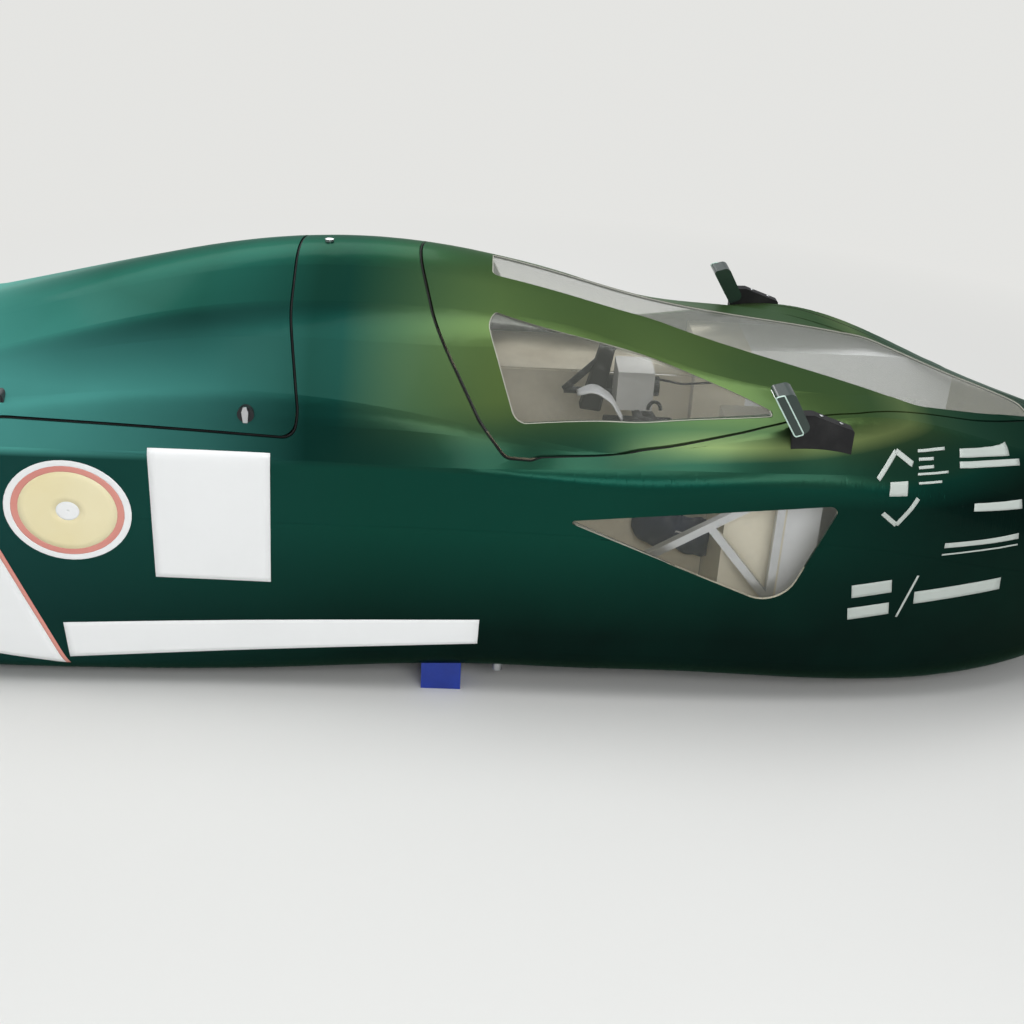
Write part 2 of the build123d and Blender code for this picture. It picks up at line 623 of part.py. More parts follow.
stud_top = surface_height(STUD_X) + STUD_PROUD
roof_stud = rod((STUD_X, 0, stud_top - WALL), (STUD_X, 0, stud_top), STUD_RADIUS)
at_x, at_y, radius, low = BELLY_STUD
belly_stud = rod((at_x, at_y, low), (at_x, at_y, SLOT_TOP), radius)
parts["studs"] = both_sides(belly_stud).fuse(roof_stud) - skin
parts["parking_blocks"] = both_sides(block(PARKING_X, PARKING_Y, (0, SLOT_TOP)) - skin)


def separate(shape):
    """One solid as it is, several as one compound."""
    solids = shape.solids()
    return solids[0] if len(solids) == 1 else Compound(solids)


for name, shape in parts.items():
    export_step(separate(shape), "parts/" + name + ".step")
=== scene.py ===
# %% [markdown]
# # A faired recumbent three-wheeler
#
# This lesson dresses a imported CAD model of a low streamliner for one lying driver. The CAD gives the body,
# the panels, the wheels and the steering. Blender adds the finish: paint, clear panes, rubber seals, tyre
# tread, stickers, cabin boards and small fittings. Everything is in metres, with X toward the nose, Y to the
# driver's left and Z up.

# %% Load the frame
import json
import math
import bmesh
import bpy
from mathutils import Matrix, Vector
from mathutils.bvhtree import BVHTree


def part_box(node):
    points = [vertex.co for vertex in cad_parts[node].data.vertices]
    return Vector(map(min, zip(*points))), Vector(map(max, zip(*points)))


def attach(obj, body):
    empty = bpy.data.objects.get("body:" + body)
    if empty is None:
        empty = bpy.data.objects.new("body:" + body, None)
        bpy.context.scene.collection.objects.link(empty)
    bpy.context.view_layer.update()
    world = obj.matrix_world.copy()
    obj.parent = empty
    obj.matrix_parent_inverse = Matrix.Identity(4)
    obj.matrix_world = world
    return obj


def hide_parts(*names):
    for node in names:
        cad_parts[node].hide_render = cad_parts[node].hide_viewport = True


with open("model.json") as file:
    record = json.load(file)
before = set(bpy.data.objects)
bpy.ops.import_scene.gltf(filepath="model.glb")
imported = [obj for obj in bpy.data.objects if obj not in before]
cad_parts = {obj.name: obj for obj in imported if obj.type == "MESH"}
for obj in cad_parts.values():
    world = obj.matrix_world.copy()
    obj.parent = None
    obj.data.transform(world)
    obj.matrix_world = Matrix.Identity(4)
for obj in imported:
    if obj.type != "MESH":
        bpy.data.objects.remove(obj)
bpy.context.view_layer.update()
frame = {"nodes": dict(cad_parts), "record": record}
NODES = frame["nodes"]

# %% [markdown]
# ## The camera
# The photograph was taken standing, close to the right side, looking down at about 27 degrees with the
# camera tilted a little. The numbers were found by matching points of the body to the picture. A camera could
# also be aimed with a constraint, but a matrix built from its own axes keeps the small tilt exactly.

# %% Camera
CAMERA_PLACE = Vector((0.085, -2.453, 1.424))
CAMERA_YAW = math.radians(1.827)
CAMERA_PITCH = math.radians(26.666)
CAMERA_TILT = 0.054
PICTURE_SIZE = 1024
FOCAL_PIXELS = 1350
SENSOR = 36.0


def camera_matrix():
    ahead = Vector((math.sin(CAMERA_YAW), math.cos(CAMERA_YAW), 0))
    level = Vector((math.cos(CAMERA_YAW), -math.sin(CAMERA_YAW), 0))
    up = Vector((0, 0, 1))
    forward = ahead * math.cos(CAMERA_PITCH) - up * math.sin(CAMERA_PITCH)
    above = ahead * math.sin(CAMERA_PITCH) + up * math.cos(CAMERA_PITCH)
    cosine, sine = math.cos(CAMERA_TILT), math.sin(CAMERA_TILT)
    across = level * cosine + above * sine
    upward = above * cosine - level * sine
    turn = Matrix((across, upward, -forward)).transposed().to_4x4()
    return Matrix.Translation(CAMERA_PLACE) @ turn


lens = bpy.data.cameras.new("camera")
lens.sensor_width = SENSOR
lens.lens = SENSOR * FOCAL_PIXELS / PICTURE_SIZE
camera = bpy.data.objects.new("camera", lens)
camera.matrix_world = camera_matrix()
bpy.context.scene.collection.objects.link(camera)
bpy.context.scene.camera = camera
print("lens", round(lens.lens, 2), "mm")

# %% [markdown]
# ## Floor and light
# A show hall lights a car from above with rows of long lamps. Soft area lamps do the same here: a wide one
# overhead, one on each side and a small one behind the tail. Bare points of light would leave hard dots on
# the paint. The floor is a pale plane, and it is not part of the object.

# %% Floor, world and lamps
# Columns: name, place, size, power in watts
LAMPS = [
    ("top", (0.3, -0.2, 3.4), (3.6, 1.6), 62),
    ("near", (1.2, -3.6, 2.4), (2.6, 1.4), 48),
    ("far", (-1.2, 3.4, 2.6), (3.0, 1.4), 42),
    ("tail", (-3.8, -0.6, 1.9), (1.6, 1.2), 22),
]
LAMP_AIM = Vector((0, 0, 0.35))
SKY = (0.84, 0.86, 0.88)
SKY_STRENGTH = 0.5
FLOOR_HALF = 9.0


def lamp(name, place, size, power):
    light = bpy.data.lights.new(name, "AREA")
    light.shape = "RECTANGLE"
    light.size, light.size_y = size
    light.energy = power
    holder = bpy.data.objects.new(name, light)
    holder.location = place
    holder.rotation_euler = (LAMP_AIM - Vector(place)).to_track_quat("-Z", "Y").to_euler()
    bpy.context.scene.collection.objects.link(holder)


for row in LAMPS:
    lamp(*row)

floor_mesh = bpy.data.meshes.new("floor")
corners = [(x * FLOOR_HALF, y * FLOOR_HALF, 0) for x, y in ((-1, -1), (1, -1), (1, 1), (-1, 1))]
floor_mesh.from_pydata(corners, [], [(0, 1, 2, 3)])
floor = bpy.data.objects.new("floor", floor_mesh)
bpy.context.scene.collection.objects.link(floor)

world = bpy.data.worlds.new("world")
world.use_nodes = True
bpy.context.scene.world = world
world.node_tree.nodes["Background"].inputs["Color"].default_value = (*SKY, 1)
world.node_tree.nodes["Background"].inputs["Strength"].default_value = SKY_STRENGTH
bpy.context.scene.view_settings.view_transform = "Standard"
print("lamps:", len(LAMPS))

# %% [markdown]
# ## Writing shader maths in Python
# A shader is a graph of nodes. Wiring it by hand is slow to read, so one small class wraps a socket and lets
# the usual signs add Math nodes: `1 - mask` or `noise * 0.2 + 0.5`. Numbers alone are worked out in Python.

# %% One socket with arithmetic


def math_node(operation, swapped=False):
    """A method that adds one Math node. Swapped is for a plain number on the left, as in 1 - mask."""
    def act(wire, other):
        node = wire.tree.nodes.new("ShaderNodeMath")
        node.operation = operation
        for slot, value in zip(node.inputs, (other, wire) if swapped else (wire, other)):
            plug(wire.tree, slot, value)
        return Wire(wire.tree, node.outputs[0])
    return act


class Wire:
    """One socket of a material's graph, with arithmetic."""
    __add__ = __radd__ = math_node("ADD")
    __mul__ = __rmul__ = math_node("MULTIPLY")
    __sub__, __rsub__ = math_node("SUBTRACT"), math_node("SUBTRACT", True)
    __truediv__, __rtruediv__ = math_node("DIVIDE"), math_node("DIVIDE", True)
    __pow__, __rpow__ = math_node("POWER"), math_node("POWER", True)
    above = math_node("GREATER_THAN")
    at_least = math_node("MAXIMUM")
    at_most = math_node("MINIMUM")

    def __init__(self, tree, socket):
        self.tree, self.socket = tree, socket

    def clamped(self):
        return self.at_least(0).at_most(1)

    def step(self, low, high):
        """0 below low, 1 above high, and a straight ramp between them."""
        return ((self - low) / (high - low)).clamped()


def plug(tree, slot, value):
    """Links a wire to a socket, or sets a plain value on it."""
    if isinstance(value, Wire):
        tree.links.new(value.socket, slot)
    else:
        slot.default_value = value


print("operators ready")

# %% [markdown]
# ## One material at a time
# A second small class holds a material while it is being made. Every node but the Math ones comes from its
# `node` method, and colours are mixed with Mix nodes, because a Math node would turn them grey.

# %% One material


class Finish:
    """A material while it is being made."""

    def __init__(self, name):
        self.material = bpy.data.materials.new(name)
        self.material.use_nodes = True
        self.tree = self.material.node_tree
        self.shader = self.tree.nodes["Principled BSDF"]

    def node(self, kind, settings=None, output=0, **values):
        """Any node. Its settings are set first. A socket goes by its name, or by its number, as in i6."""
        made = self.tree.nodes.new("ShaderNode" + kind)
        for key, value in (settings or {}).items():
            setattr(made, key, value)
        for key, value in values.items():
            plug(self.tree, made.inputs[int(key[1:]) if key[1:].isdigit() else key], value)
        return Wire(self.tree, made.outputs[output])

    def place(self):
        return self.node("TexCoord", output="Object")

    def axis(self, number):
        return self.node("SeparateXYZ", output=number, Vector=self.place())

    def noise(self, scale, detail, stretch=None):
        where = self.place()
        if stretch:
            where = self.node("Mapping", Vector=where, Scale=stretch)
        return self.node("TexNoise", output="Fac", Vector=where, Scale=scale, Detail=detail)

    def mix(self, share, first, second):
        """Two colours, each a tuple or a wire, mixed by a share from 0 to 1."""
        first, second = (tone if isinstance(tone, Wire) else (*tone, 1) for tone in (first, second))
        return self.node("Mix", {"data_type": "RGBA"}, 2, i0=share, i6=first, i7=second)

    def bump(self, height, strength, depth):
        plug(self.tree, self.shader.inputs["Normal"],
             self.node("Bump", Height=height, Strength=strength, Distance=depth))

    def set(self, **values):
        """Sets or links sockets of the main shader. Colours are given without their alpha."""
        for key, value in values.items():
            if isinstance(value, tuple):
                value = (*value, 1)
            plug(self.tree, self.shader.inputs[key.replace("_", " ")], value)


print("shader classes ready")

# %% [markdown]
# ## Floor finish and backdrop
# Near the object the floor is plain pale paint that takes its shadow. Far away it turns into a flat pale tone
# for the camera, for mirrors and for glass, so there is no grey band behind the body. The same is done for
# the sky. A large curved backdrop would also work, but it would throw more light on the object.

# %% Floor finish
PALE = (0.78, 0.78, 0.76)
FLOOR_ROUGHNESS = 0.8
FADE_START, FADE_END = 1.4, 3.2
SEEN_RAYS = ("Is Camera Ray", "Is Glossy Ray", "Is Transmission Ray")


def floor_finish():
    finish = Finish("floor_paint")
    finish.set(Base_Color=PALE, Roughness=FLOOR_ROUGHNESS)
    x, y = finish.axis(0), finish.axis(1)
    distance = (x * x + y * y) ** 0.5
    from_eye, from_mirror, through_glass = (finish.node("LightPath", output=kind) for kind in SEEN_RAYS)
    share = distance.step(FADE_START, FADE_END) * (from_eye + from_mirror + through_glass).clamped()
    plain = Wire(finish.tree, finish.shader.outputs[0])
    glow = finish.node("Emission", Color=(*PALE, 1), Strength=1.0)
    blend = finish.node("MixShader", i0=share, i1=plain, i2=glow)
    output = next(node for node in finish.tree.nodes if node.type == "OUTPUT_MATERIAL")
    finish.tree.links.new(blend.socket, output.inputs["Surface"])
    return finish.material


floor.data.materials.append(floor_finish())
sky = bpy.context.scene.world.node_tree
rays = sky.nodes.new("ShaderNodeLightPath")
pale_sky = sky.nodes.new("ShaderNodeBackground")
pale_sky.inputs["Color"].default_value = (*PALE, 1)
choice = sky.nodes.new("ShaderNodeMixShader")
sky.links.new(rays.outputs["Is Camera Ray"], choice.inputs[0])
sky.links.new(sky.nodes["Background"].outputs[0], choice.inputs[1])
sky.links.new(pale_sky.outputs[0], choice.inputs[2])
sky.links.new(choice.outputs[0], sky.nodes["World Output"].inputs["Surface"])
print("floor and sky are pale")

# %% [markdown]
# ## Body paint
# The body is dark green metallic paint under a very thin clear coat. Eight tones are mixed by place, and they
# paint light into it: a painted highlight turns the rear hatch a cool teal, painted highlights make it olive
# green by the canopy and along the shoulder ridge, and painted shade keeps the shoulder below the windows
# dark and makes it nearly black low on the flanks and at the nose. Metallic paint tints what it mirrors,
# which keeps it dark and rich under pale lamps. Painting each panel in one colour would be simpler, but the
# tones run on across the seams.

# %% Tones of the paint
# Painted highlight: a bright teal that stands for a lamp's reflection on the rear hatch
HATCH_HIGHLIGHT_TEAL = (0.19, 0.76, 0.68)
ROOF_GREEN = (0.003, 0.036, 0.028)
# Painted highlight: olive green by the canopy
OLIVE_HIGHLIGHT_GREEN = (0.085, 0.135, 0.04)
# Painted shade: a darker green on the shoulder below the windows
SHOULDER_SHADE_GREEN = (0.014, 0.06, 0.035)
# Painted highlight: a light olive line along the shoulder ridge
RIDGE_HIGHLIGHT_GREEN = (0.22, 0.28, 0.1)
FLANK_GREEN = (0.004, 0.056, 0.038)
TAIL_GREEN = (0.012, 0.066, 0.064)
# Painted shade: near-black green for the low flanks, the low nose and the tip
PAINTED_SHADE_GREEN = (0.0004, 0.004, 0.0035)
CREAM = (0.84, 0.78, 0.62)
AGED_CREAM = (0.6, 0.53, 0.4)
# Painted shade on the upper inner wall, and also the dark of the laminate's weave
WEAVE_AND_SHADE_DARK = (0.06, 0.07, 0.045)
# Where one tone gives way to the next: X along the body, Z up it
HATCH_HIGHLIGHT_X = (-1.1, -0.2)
# Painted shade: the top of the roof and the hatch is kept dark
ROOF_SHADE_X, ROOF_SHADE_Z = (-0.4, -0.1), (0.56, 0.66)
OLIVE_HIGHLIGHT_X, OLIVE_HIGHLIGHT_Z = (-0.15, 0.12), (0.47, 0.56)
SHOULDER_SHADE_X, SHOULDER_SHADE_Z = (-0.2, 0.1), (0.47, 0.54)
TAIL_X, FLANK_Z = (-0.9, -0.1), (0.456, 0.471)
BELLY_SHADE_X, BELLY_SHADE_Z = (-0.8, 0.1), (0.14, 0.34)
NOSE_SHADE_X, NOSE_SHADE_Z = (0.3, 0.95), (0.42, 0.46)
TIP_SHADE_X = (0.95, 1.2)
RIDGE_X, RIDGE_HALF = (0.3, 0.6), 0.02
RIDGE_START, RIDGE_RISE, RIDGE_SLOPE = 0.19, 0.474, 0.1


def body_tone(finish):
    """The green at a place on the body, with painted highlights and painted shade mixed in by place."""
    along, height = finish.axis(0), finish.axis(2)
    # Painted highlight: the rear hatch is teal, fading forward into the roof green
    green = finish.mix(along.step(*HATCH_HIGHLIGHT_X), HATCH_HIGHLIGHT_TEAL, ROOF_GREEN)
    # Painted shade: the top of the roof and hatch stays dark, so the painted highlight lies low on the hatch
    green = finish.mix(height.step(*ROOF_SHADE_Z) * (1 - along.step(*ROOF_SHADE_X)) * 0.8, green, ROOF_GREEN)
    # Painted highlight: olive green on the canopy and the upper body beside it
    green = finish.mix(along.step(*OLIVE_HIGHLIGHT_X) * height.step(*OLIVE_HIGHLIGHT_Z), green, OLIVE_HIGHLIGHT_GREEN)
    # Painted shade: the shoulder below the windows is kept dark
    green = finish.mix(along.step(*SHOULDER_SHADE_X) * (1 - height.step(*SHOULDER_SHADE_Z)), green, SHOULDER_SHADE_GREEN)
    flank = finish.mix(along.step(*TAIL_X), TAIL_GREEN, FLANK_GREEN)
    green = finish.mix(1 - height.step(*FLANK_Z), green, flank)
    # Painted shade: nearly black low on the flanks, more so toward the front
    belly = (1 - height.step(*BELLY_SHADE_Z)) * (along.step(*BELLY_SHADE_X) * 0.65 + 0.35)
    green = finish.mix(belly, green, PAINTED_SHADE_GREEN)
    # Painted highlight: a narrow light band along the shoulder ridge, rising toward the nose
    ridge = height - RIDGE_RISE - (along - RIDGE_START) * RIDGE_SLOPE
    ridge = ridge.step(-RIDGE_HALF, 0.0) * (1 - ridge.step(0.0, RIDGE_HALF)) * along.step(*RIDGE_X)
    green = finish.mix(ridge * 0.85, green, RIDGE_HIGHLIGHT_GREEN)
    # Painted shade: the low part of the nose is nearly black
    nose = along.step(*NOSE_SHADE_X) * (1 - height.step(*NOSE_SHADE_Z))
    green = finish.mix(nose * 0.85, green, PAINTED_SHADE_GREEN)
    # Painted shade: the tip of the nose is nearly black
    green = finish.mix(along.step(*TIP_SHADE_X) * 0.8, green, PAINTED_SHADE_GREEN)
    cloud = finish.noise(3.0, 4).step(0.35, 0.7) * 0.2
    return finish.mix(cloud, green, FLANK_GREEN)


print("teal ends at X", HATCH_HIGHLIGHT_X[1], "and olive begins at X", OLIVE_HIGHLIGHT_X[0])

# %% [markdown]
# ## Inside and outside of the shell
# Flake is a very fine noise in the roughness, and the slight waviness of a hand-laid moulding is a wide, low
# bump. The same shell is bare cream laminate inside, and painted shade makes it dark above. It could have a
# second material on its inner faces, but a mask from the surface's direction leaves the CAD mesh untouched.
# The mask reads the flat end faces of the nose and the tail as inside too.

# %% Paint
AXIS_HEIGHT = 0.3
LINING_SHADE_EDGE, LINING_SHADE_BLEND = 0.44, 0.004
PAINT_ROUGHNESS = 0.34
PAINT_METALLIC = 0.9
PAINT_COAT = 0.05
PAINT_TINT = (0.4, 0.62, 0.5)


def inside_mask(finish):
    """1 where the surface faces the body's middle line."""
    y, z = finish.axis(1), finish.axis(2)
    normal = finish.node("TexCoord", output="Normal")
    across = finish.node("SeparateXYZ", output=1, Vector=normal)
    upward = finish.node("SeparateXYZ", output=2, Vector=normal)
    outward = y * across + (z - AXIS_HEIGHT) * upward
    return 1 - outward.above(0)


def paint():
    """Green paint outside. Inside, cream laminate, with painted shade that makes it dark above."""
    finish = Finish("satin_green")
    inner = inside_mask(finish)
    weave = finish.noise(140.0, 2)
    # Painted shade makes the inside dark above this height
    dark = finish.axis(2).step(LINING_SHADE_EDGE, LINING_SHADE_EDGE + LINING_SHADE_BLEND)
    lining = finish.mix(weave * 0.25, finish.mix(dark, CREAM, WEAVE_AND_SHADE_DARK), WEAVE_AND_SHADE_DARK)
    flake = finish.noise(900.0, 2)
    finish.set(
        Base_Color=finish.mix(inner, body_tone(finish), lining),
        Metallic=(1 - inner) * PAINT_METALLIC,
        Roughness=flake * 0.1 + PAINT_ROUGHNESS + inner * 0.25,
        Coat_Weight=(1 - inner) * PAINT_COAT,
        Coat_Roughness=0.12,
        Specular_Tint=PAINT_TINT,
    )
    finish.bump(finish.noise(5.0, 2) + flake * 0.02, 0.12, 0.003)
    return finish.material


satin_green = paint()
print("paint:", satin_green.name)

# %% [markdown]
# ## Panes, metals, plastics and cloth
# The panes are thin clear plastic: nearly see-through, more mirror-like at a slant, with a little dust. Each
# other finish gets its own grain: brushing in one direction on steel, casting grain on alloy, moulded texture
# on plastic and a weave on the seat. A Layer Weight node gives the panes their slanting gloss and looks right
# from every side, which a painted highlight would not.

# %% Kinds of finish
WHITE_FROM, WHITE_BLEND = 0.638, 0.002
PANE_TONE, DUST_TONE = (0.5, 0.52, 0.46), (0.7, 0.7, 0.66)
PANEL_WHITE, PANEL_SHADE = (0.9, 0.91, 0.92), (0.8, 0.81, 0.82)
FINE = 0.0006


def pane_finish():
    finish = Finish("clear_pane")
    slant = finish.node("LayerWeight", output="Fresnel", Blend=0.25)
    dust = finish.noise(60.0, 5).step(0.55, 0.9)
    finish.set(
        Base_Color=finish.mix(dust, PANE_TONE, DUST_TONE),
        Roughness=dust * 0.2 + 0.03,
        Alpha=slant * 0.3 + dust * 0.05 + 0.05,
        IOR=1.49,
    )
    return finish.material


def grained(name, first, second, scale, metallic, roughness, bump, stretch=None, coat=0.0, gloss=0.5):
    """A finish whose colour, roughness and bump share one noise."""
    finish = Finish(name)
    grain = finish.noise(scale, 4, stretch)
    blotch = finish.noise(scale * 0.06 + 2, 3).step(0.4, 0.7)
    finish.set(
        Base_Color=finish.mix(blotch * 0.6 + grain * 0.3, first, second),
        Metallic=metallic,
        Roughness=grain * 0.18 + roughness,
        Coat_Weight=coat,
        Specular_IOR_Level=gloss,
    )
    finish.bump(grain, bump, FINE)
    return finish.material


def wheel_box_finish():
    """Cream laminate behind, and a white panel in front of the truss."""
    finish = Finish("wheel_box")
    grain = finish.noise(110, 3)
    back = finish.mix(grain * 0.3, CREAM, AGED_CREAM)
    front = finish.mix(grain * 0.3, PANEL_WHITE, PANEL_SHADE)
    edge = finish.axis(0).step(WHITE_FROM, WHITE_FROM + WHITE_BLEND)
    finish.set(Base_Color=finish.mix(edge, back, front), Roughness=grain * 0.15 + 0.42)
    finish.bump(grain, 0.12, FINE)
    return finish.material


def woven(name, first, second, threads):
    """Cloth from two crossing rows of waves, worn in places."""
    finish = Finish(name)
    waves = []
    for direction in ("X", "Y"):
        settings = {"wave_type": "BANDS", "bands_direction": direction}
        place = finish.place()
        waves.append(finish.node("TexWave", settings, 1, Vector=place, Scale=threads, Distortion=0.6))
    weave = waves[0] * 0.5 + waves[1] * 0.5
    worn = finish.noise(9.0, 4).step(0.45, 0.75)
    tone = finish.mix(weave * 0.6 + worn * 0.4, first, second)
    finish.set(Base_Color=tone, Roughness=weave * 0.1 + 0.8, Sheen_Weight=0.3)
    finish.bump(weave, 0.5, 0.0008)
    return finish.material


print("kinds of finish: 4")

# %% [markdown]
# ## The finishes in a table
# Most finishes differ only in colour, grain and gloss, so one table makes them all. Each could be written out
# as a function, but a row is easier to compare with its neighbours.

# %% Table of finishes
# Columns: name, two colours, grain scale, metallic, roughness, bump strength, anything unusual
GRAINED = [
    ("steel", (0.62, 0.63, 0.64), (0.42, 0.43, 0.44), 220, 1.0, 0.24, 0.15, {"stretch": (1, 12, 12)}),
    ("alloy", (0.66, 0.67, 0.68), (0.48, 0.49, 0.5), 160, 0.9, 0.32, 0.2, {}),
    ("black_metal", (0.02, 0.021, 0.023), (0.045, 0.045, 0.047), 180, 0.3, 0.35, 0.2, {"gloss": 0.3}),
    ("black_plastic", (0.01, 0.01, 0.011), (0.028, 0.028, 0.028), 420, 0.0, 0.5, 0.35, {"gloss": 0.25}),
    ("tyre", (0.02, 0.02, 0.02), (0.06, 0.057, 0.052), 260, 0.0, 0.72, 0.4, {"gloss": 0.3}),
    ("rubber", (0.008, 0.008, 0.008), (0.02, 0.02, 0.02), 300, 0.0, 0.6, 0.3, {"gloss": 0.2}),
    ("navy_cloth", (0.012, 0.02, 0.05), (0.03, 0.04, 0.085), 150, 0.0, 0.85, 0.5, {"gloss": 0.2}),
    ("white_panel", (0.78, 0.78, 0.75), (0.62, 0.61, 0.57), 90, 0.0, 0.42, 0.12, {}),
    ("cream_panel", CREAM, AGED_CREAM, 130, 0.0, 0.6, 0.3, {}),
    ("mirror_shell", (0.012, 0.035, 0.026), (0.02, 0.03, 0.026), 70, 0.1, 0.25, 0.06, {"coat": 0.4}),
    ("pale_rim", (0.62, 0.8, 0.72), (0.5, 0.68, 0.6), 60, 0.0, 0.25, 0.05, {"coat": 0.4}),
    ("glue", (0.5, 0.5, 0.42), (0.38, 0.38, 0.32), 90, 0.0, 0.25, 0.1, {}),
    ("mirror_face", (0.86, 0.88, 0.89), (0.78, 0.8, 0.81), 8, 1.0, 0.02, 0.0, {}),
    ("blue_block", (0.012, 0.05, 0.42), (0.01, 0.03, 0.24), 150, 0.0, 0.5, 0.3, {}),
    ("sticker", (0.97, 0.98, 0.98), (0.93, 0.94, 0.94), 50, 0.0, 0.3, 0.05, {"coat": 0.3}),
    ("bar_vinyl", (0.55, 0.6, 0.56), (0.42, 0.48, 0.44), 60, 0.0, 0.35, 0.05, {}),
    ("red_vinyl", (0.8, 0.32, 0.26), (0.7, 0.24, 0.2), 50, 0.0, 0.32, 0.05, {"coat": 0.3}),
    ("yellow_vinyl", (0.95, 0.86, 0.56), (0.9, 0.78, 0.42), 50, 0.0, 0.32, 0.05, {"coat": 0.3}),
]
FINISHES = {row[0]: grained(*row[:-1], **row[-1]) for row in GRAINED}
FINISHES["clear_pane"] = pane_finish()
FINISHES["wheel_box"] = wheel_box_finish()
FINISHES["seat_fabric"] = woven("seat_fabric", (0.025, 0.026, 0.03), (0.07, 0.07, 0.078), 260)
FINISHES["body_green"] = satin_green
print("finishes:", len(FINISHES))

# %% [markdown]
# ## Finishes on the CAD nodes
# Rigid CAD nodes keep their meshes and get a finish by their material slot in the record. One paint, with its
# painted highlights and painted shade, serves the whole body, so its tones run on from panel to panel without
# a break at the seams.

# %% Assign
# Painted shade: the hatch latches are black, partly their own dark finish and partly shade behind the front
# lever
SPECIAL = {
    "wheel_box_left": "wheel_box", "wheel_box_right": "wheel_box",
    "hatch_latches": "black_metal", "display_box": "white_panel",
}
slot_of = {row["node"]: row["material_slot"] for row in frame["record"]["subparts"]}


def dress(obj, material):
    obj.data.materials.clear()
    obj.data.materials.append(material)


for name, obj in NODES.items():
    dress(obj, FINISHES[SPECIAL.get(name, slot_of[name])])
print("dressed", len(NODES), "nodes")

# %% [markdown]
# ## Finding places on the body
# Stickers and fittings have to lie on a curved shell. A ray that is cast straight at the side of the body
# gives the exact point and the direction the surface faces there, so a flat sheet can be wrapped onto it
# point by point. Drawing the sheet by hand would leave gaps or sink it into the paint.

# %% Rays
OUTER = ("lower_shell", "body_top", "canopy", "rear_hatch")
UP = Vector((0, 0, 1))
AHEAD = Vector((1, 0, 0))
FAR = 2.0
SEAM_STEP = 0.001


def search_tree(names, points=(), faces=()):
    """A tree for casting rays at CAD nodes, and at more faces if they are given."""
    points, faces = list(points), list(faces)
    for name in names:
        mesh = NODES[name].data
        start = len(points)
        points += [v.co.copy() for v in mesh.vertices]
        faces += [[start + i for i in face.vertices] for face in mesh.polygons]
    return BVHTree.FromPolygons(points, faces)


OUTER_TREE = search_tree(OUTER)


def on_side(x, z, side):
    """The surface point and its direction at (x, z). Side is -1 for the right and 1 for the left."""
    best = None
    for height in (z, z + SEAM_STEP):
        hit, normal, _, _ = OUTER_TREE.ray_cast(Vector((x, side * FAR, height)), Vector((0, -side, 0)))
        if hit and (best is None or hit.y * side > best[0].y * side + SEAM_STEP):
            best = (hit, normal)
    hit, normal = best
    return hit, normal if normal.y * side > 0 else -normal


print("ray hits", on_side(0, 0.3, -1)[0])

# %% [markdown]
# ## Meshes from lists of points
# Most pieces below are grids: rows of points with faces between them. A round cord is the same grid wrapped
# round a line. Curve objects could do that too, but a plain mesh exports as it is.

# %% Mesh helpers


def new_piece(name, points, faces, finish, body, smooth=True):
    """Makes a mesh, puts it into the scene, dresses it and lets it ride on a body of the model."""
    mesh = bpy.data.meshes.new(name)
    mesh.from_pydata(points, [], faces)
    mesh.update()
    obj = bpy.data.objects.new(name, mesh)
    bpy.context.scene.collection.objects.link(obj)
    dress(obj, FINISHES[finish])
    for face in mesh.polygons:
        face.use_smooth = smooth
    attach(obj, body)
    return obj


def thicken(piece, thickness, offset=-1):
    thick = piece.modifiers.new("thick", "SOLIDIFY")
    thick.thickness = thickness
    thick.offset = offset


def grid_faces(rows, columns, closed=False):
    """Faces of a grid of rows by columns of points. Closed joins the last column to the first."""
    faces = []
    for i in range(rows - 1):
        low, high = i * columns, (i + 1) * columns
        for j in range(columns if closed else columns - 1):
            after = (j + 1) % columns
            faces.append((low + j, low + after, high + after, high + j))
    return faces


def face_outward(piece):
    """Turns all faces of a closed piece outward."""
    work = bmesh.new()
    work.from_mesh(piece.data)
    bmesh.ops.recalc_face_normals(work, faces=work.faces)
    work.to_mesh(piece.data)
    work.free()


def tube(points, radius, closed=False, sides=8):
    """Points and faces of a round cord along a line, with flat caps where it is open."""
    count = len(points)
    rings = []
    across = None
    for i in range(count):
        before = points[i - 1] if closed or i else points[0]
        after = points[(i + 1) % count] if closed or i < count - 1 else points[-1]
        along = (after - before).normalized()
        if across is None:
            across = along.orthogonal()
        across = (across - along * across.dot(along)).normalized()
        upward = along.cross(across)
        for k in range(sides):
            angle = 2 * math.pi * k / sides
            rings.append(points[i] + (across * math.cos(angle) + upward * math.sin(angle)) * radius)
    faces = grid_faces(count, sides, True)
    last = (count - 1) * sides
    if closed:
        shift = min(range(sides), key=lambda k: (rings[last] - rings[k]).length)
        for k in range(sides):
            faces.append((last + k, last + (k + 1) % sides, (k + 1 + shift) % sides, (k + shift) % sides))
    else:
        faces.append(tuple(range(sides))[::-1])
        faces.append(tuple(last + k for k in range(sides)))
    return rings, faces


print("mesh helpers ready")

# %% [markdown]
# ## Lines with rounded corners
# Panes, cables and the seat follow lines with a few rounded corners. A table of corners with a radius each
# is short and easy to change, and the points along it are spread evenly so that no face is a sliver.

# %% Rounded lines
ARC_STEPS = 8


def spread_evenly(points, step):
    """Points at even steps along a line of points."""
    lengths = [0.0]
    for a, b in zip(points, points[1:]):
        lengths.append(lengths[-1] + (b - a).length)
    count = max(2, round(lengths[-1] / step))
    even, i = [], 0
    for k in range(count + 1):
        target = lengths[-1] * k / count
        while i < len(points) - 2 and lengths[i + 1] < target:
            i += 1
        share = (target - lengths[i]) / (lengths[i + 1] - lengths[i])
        even.append(points[i].lerp(points[i + 1], share))
    return even


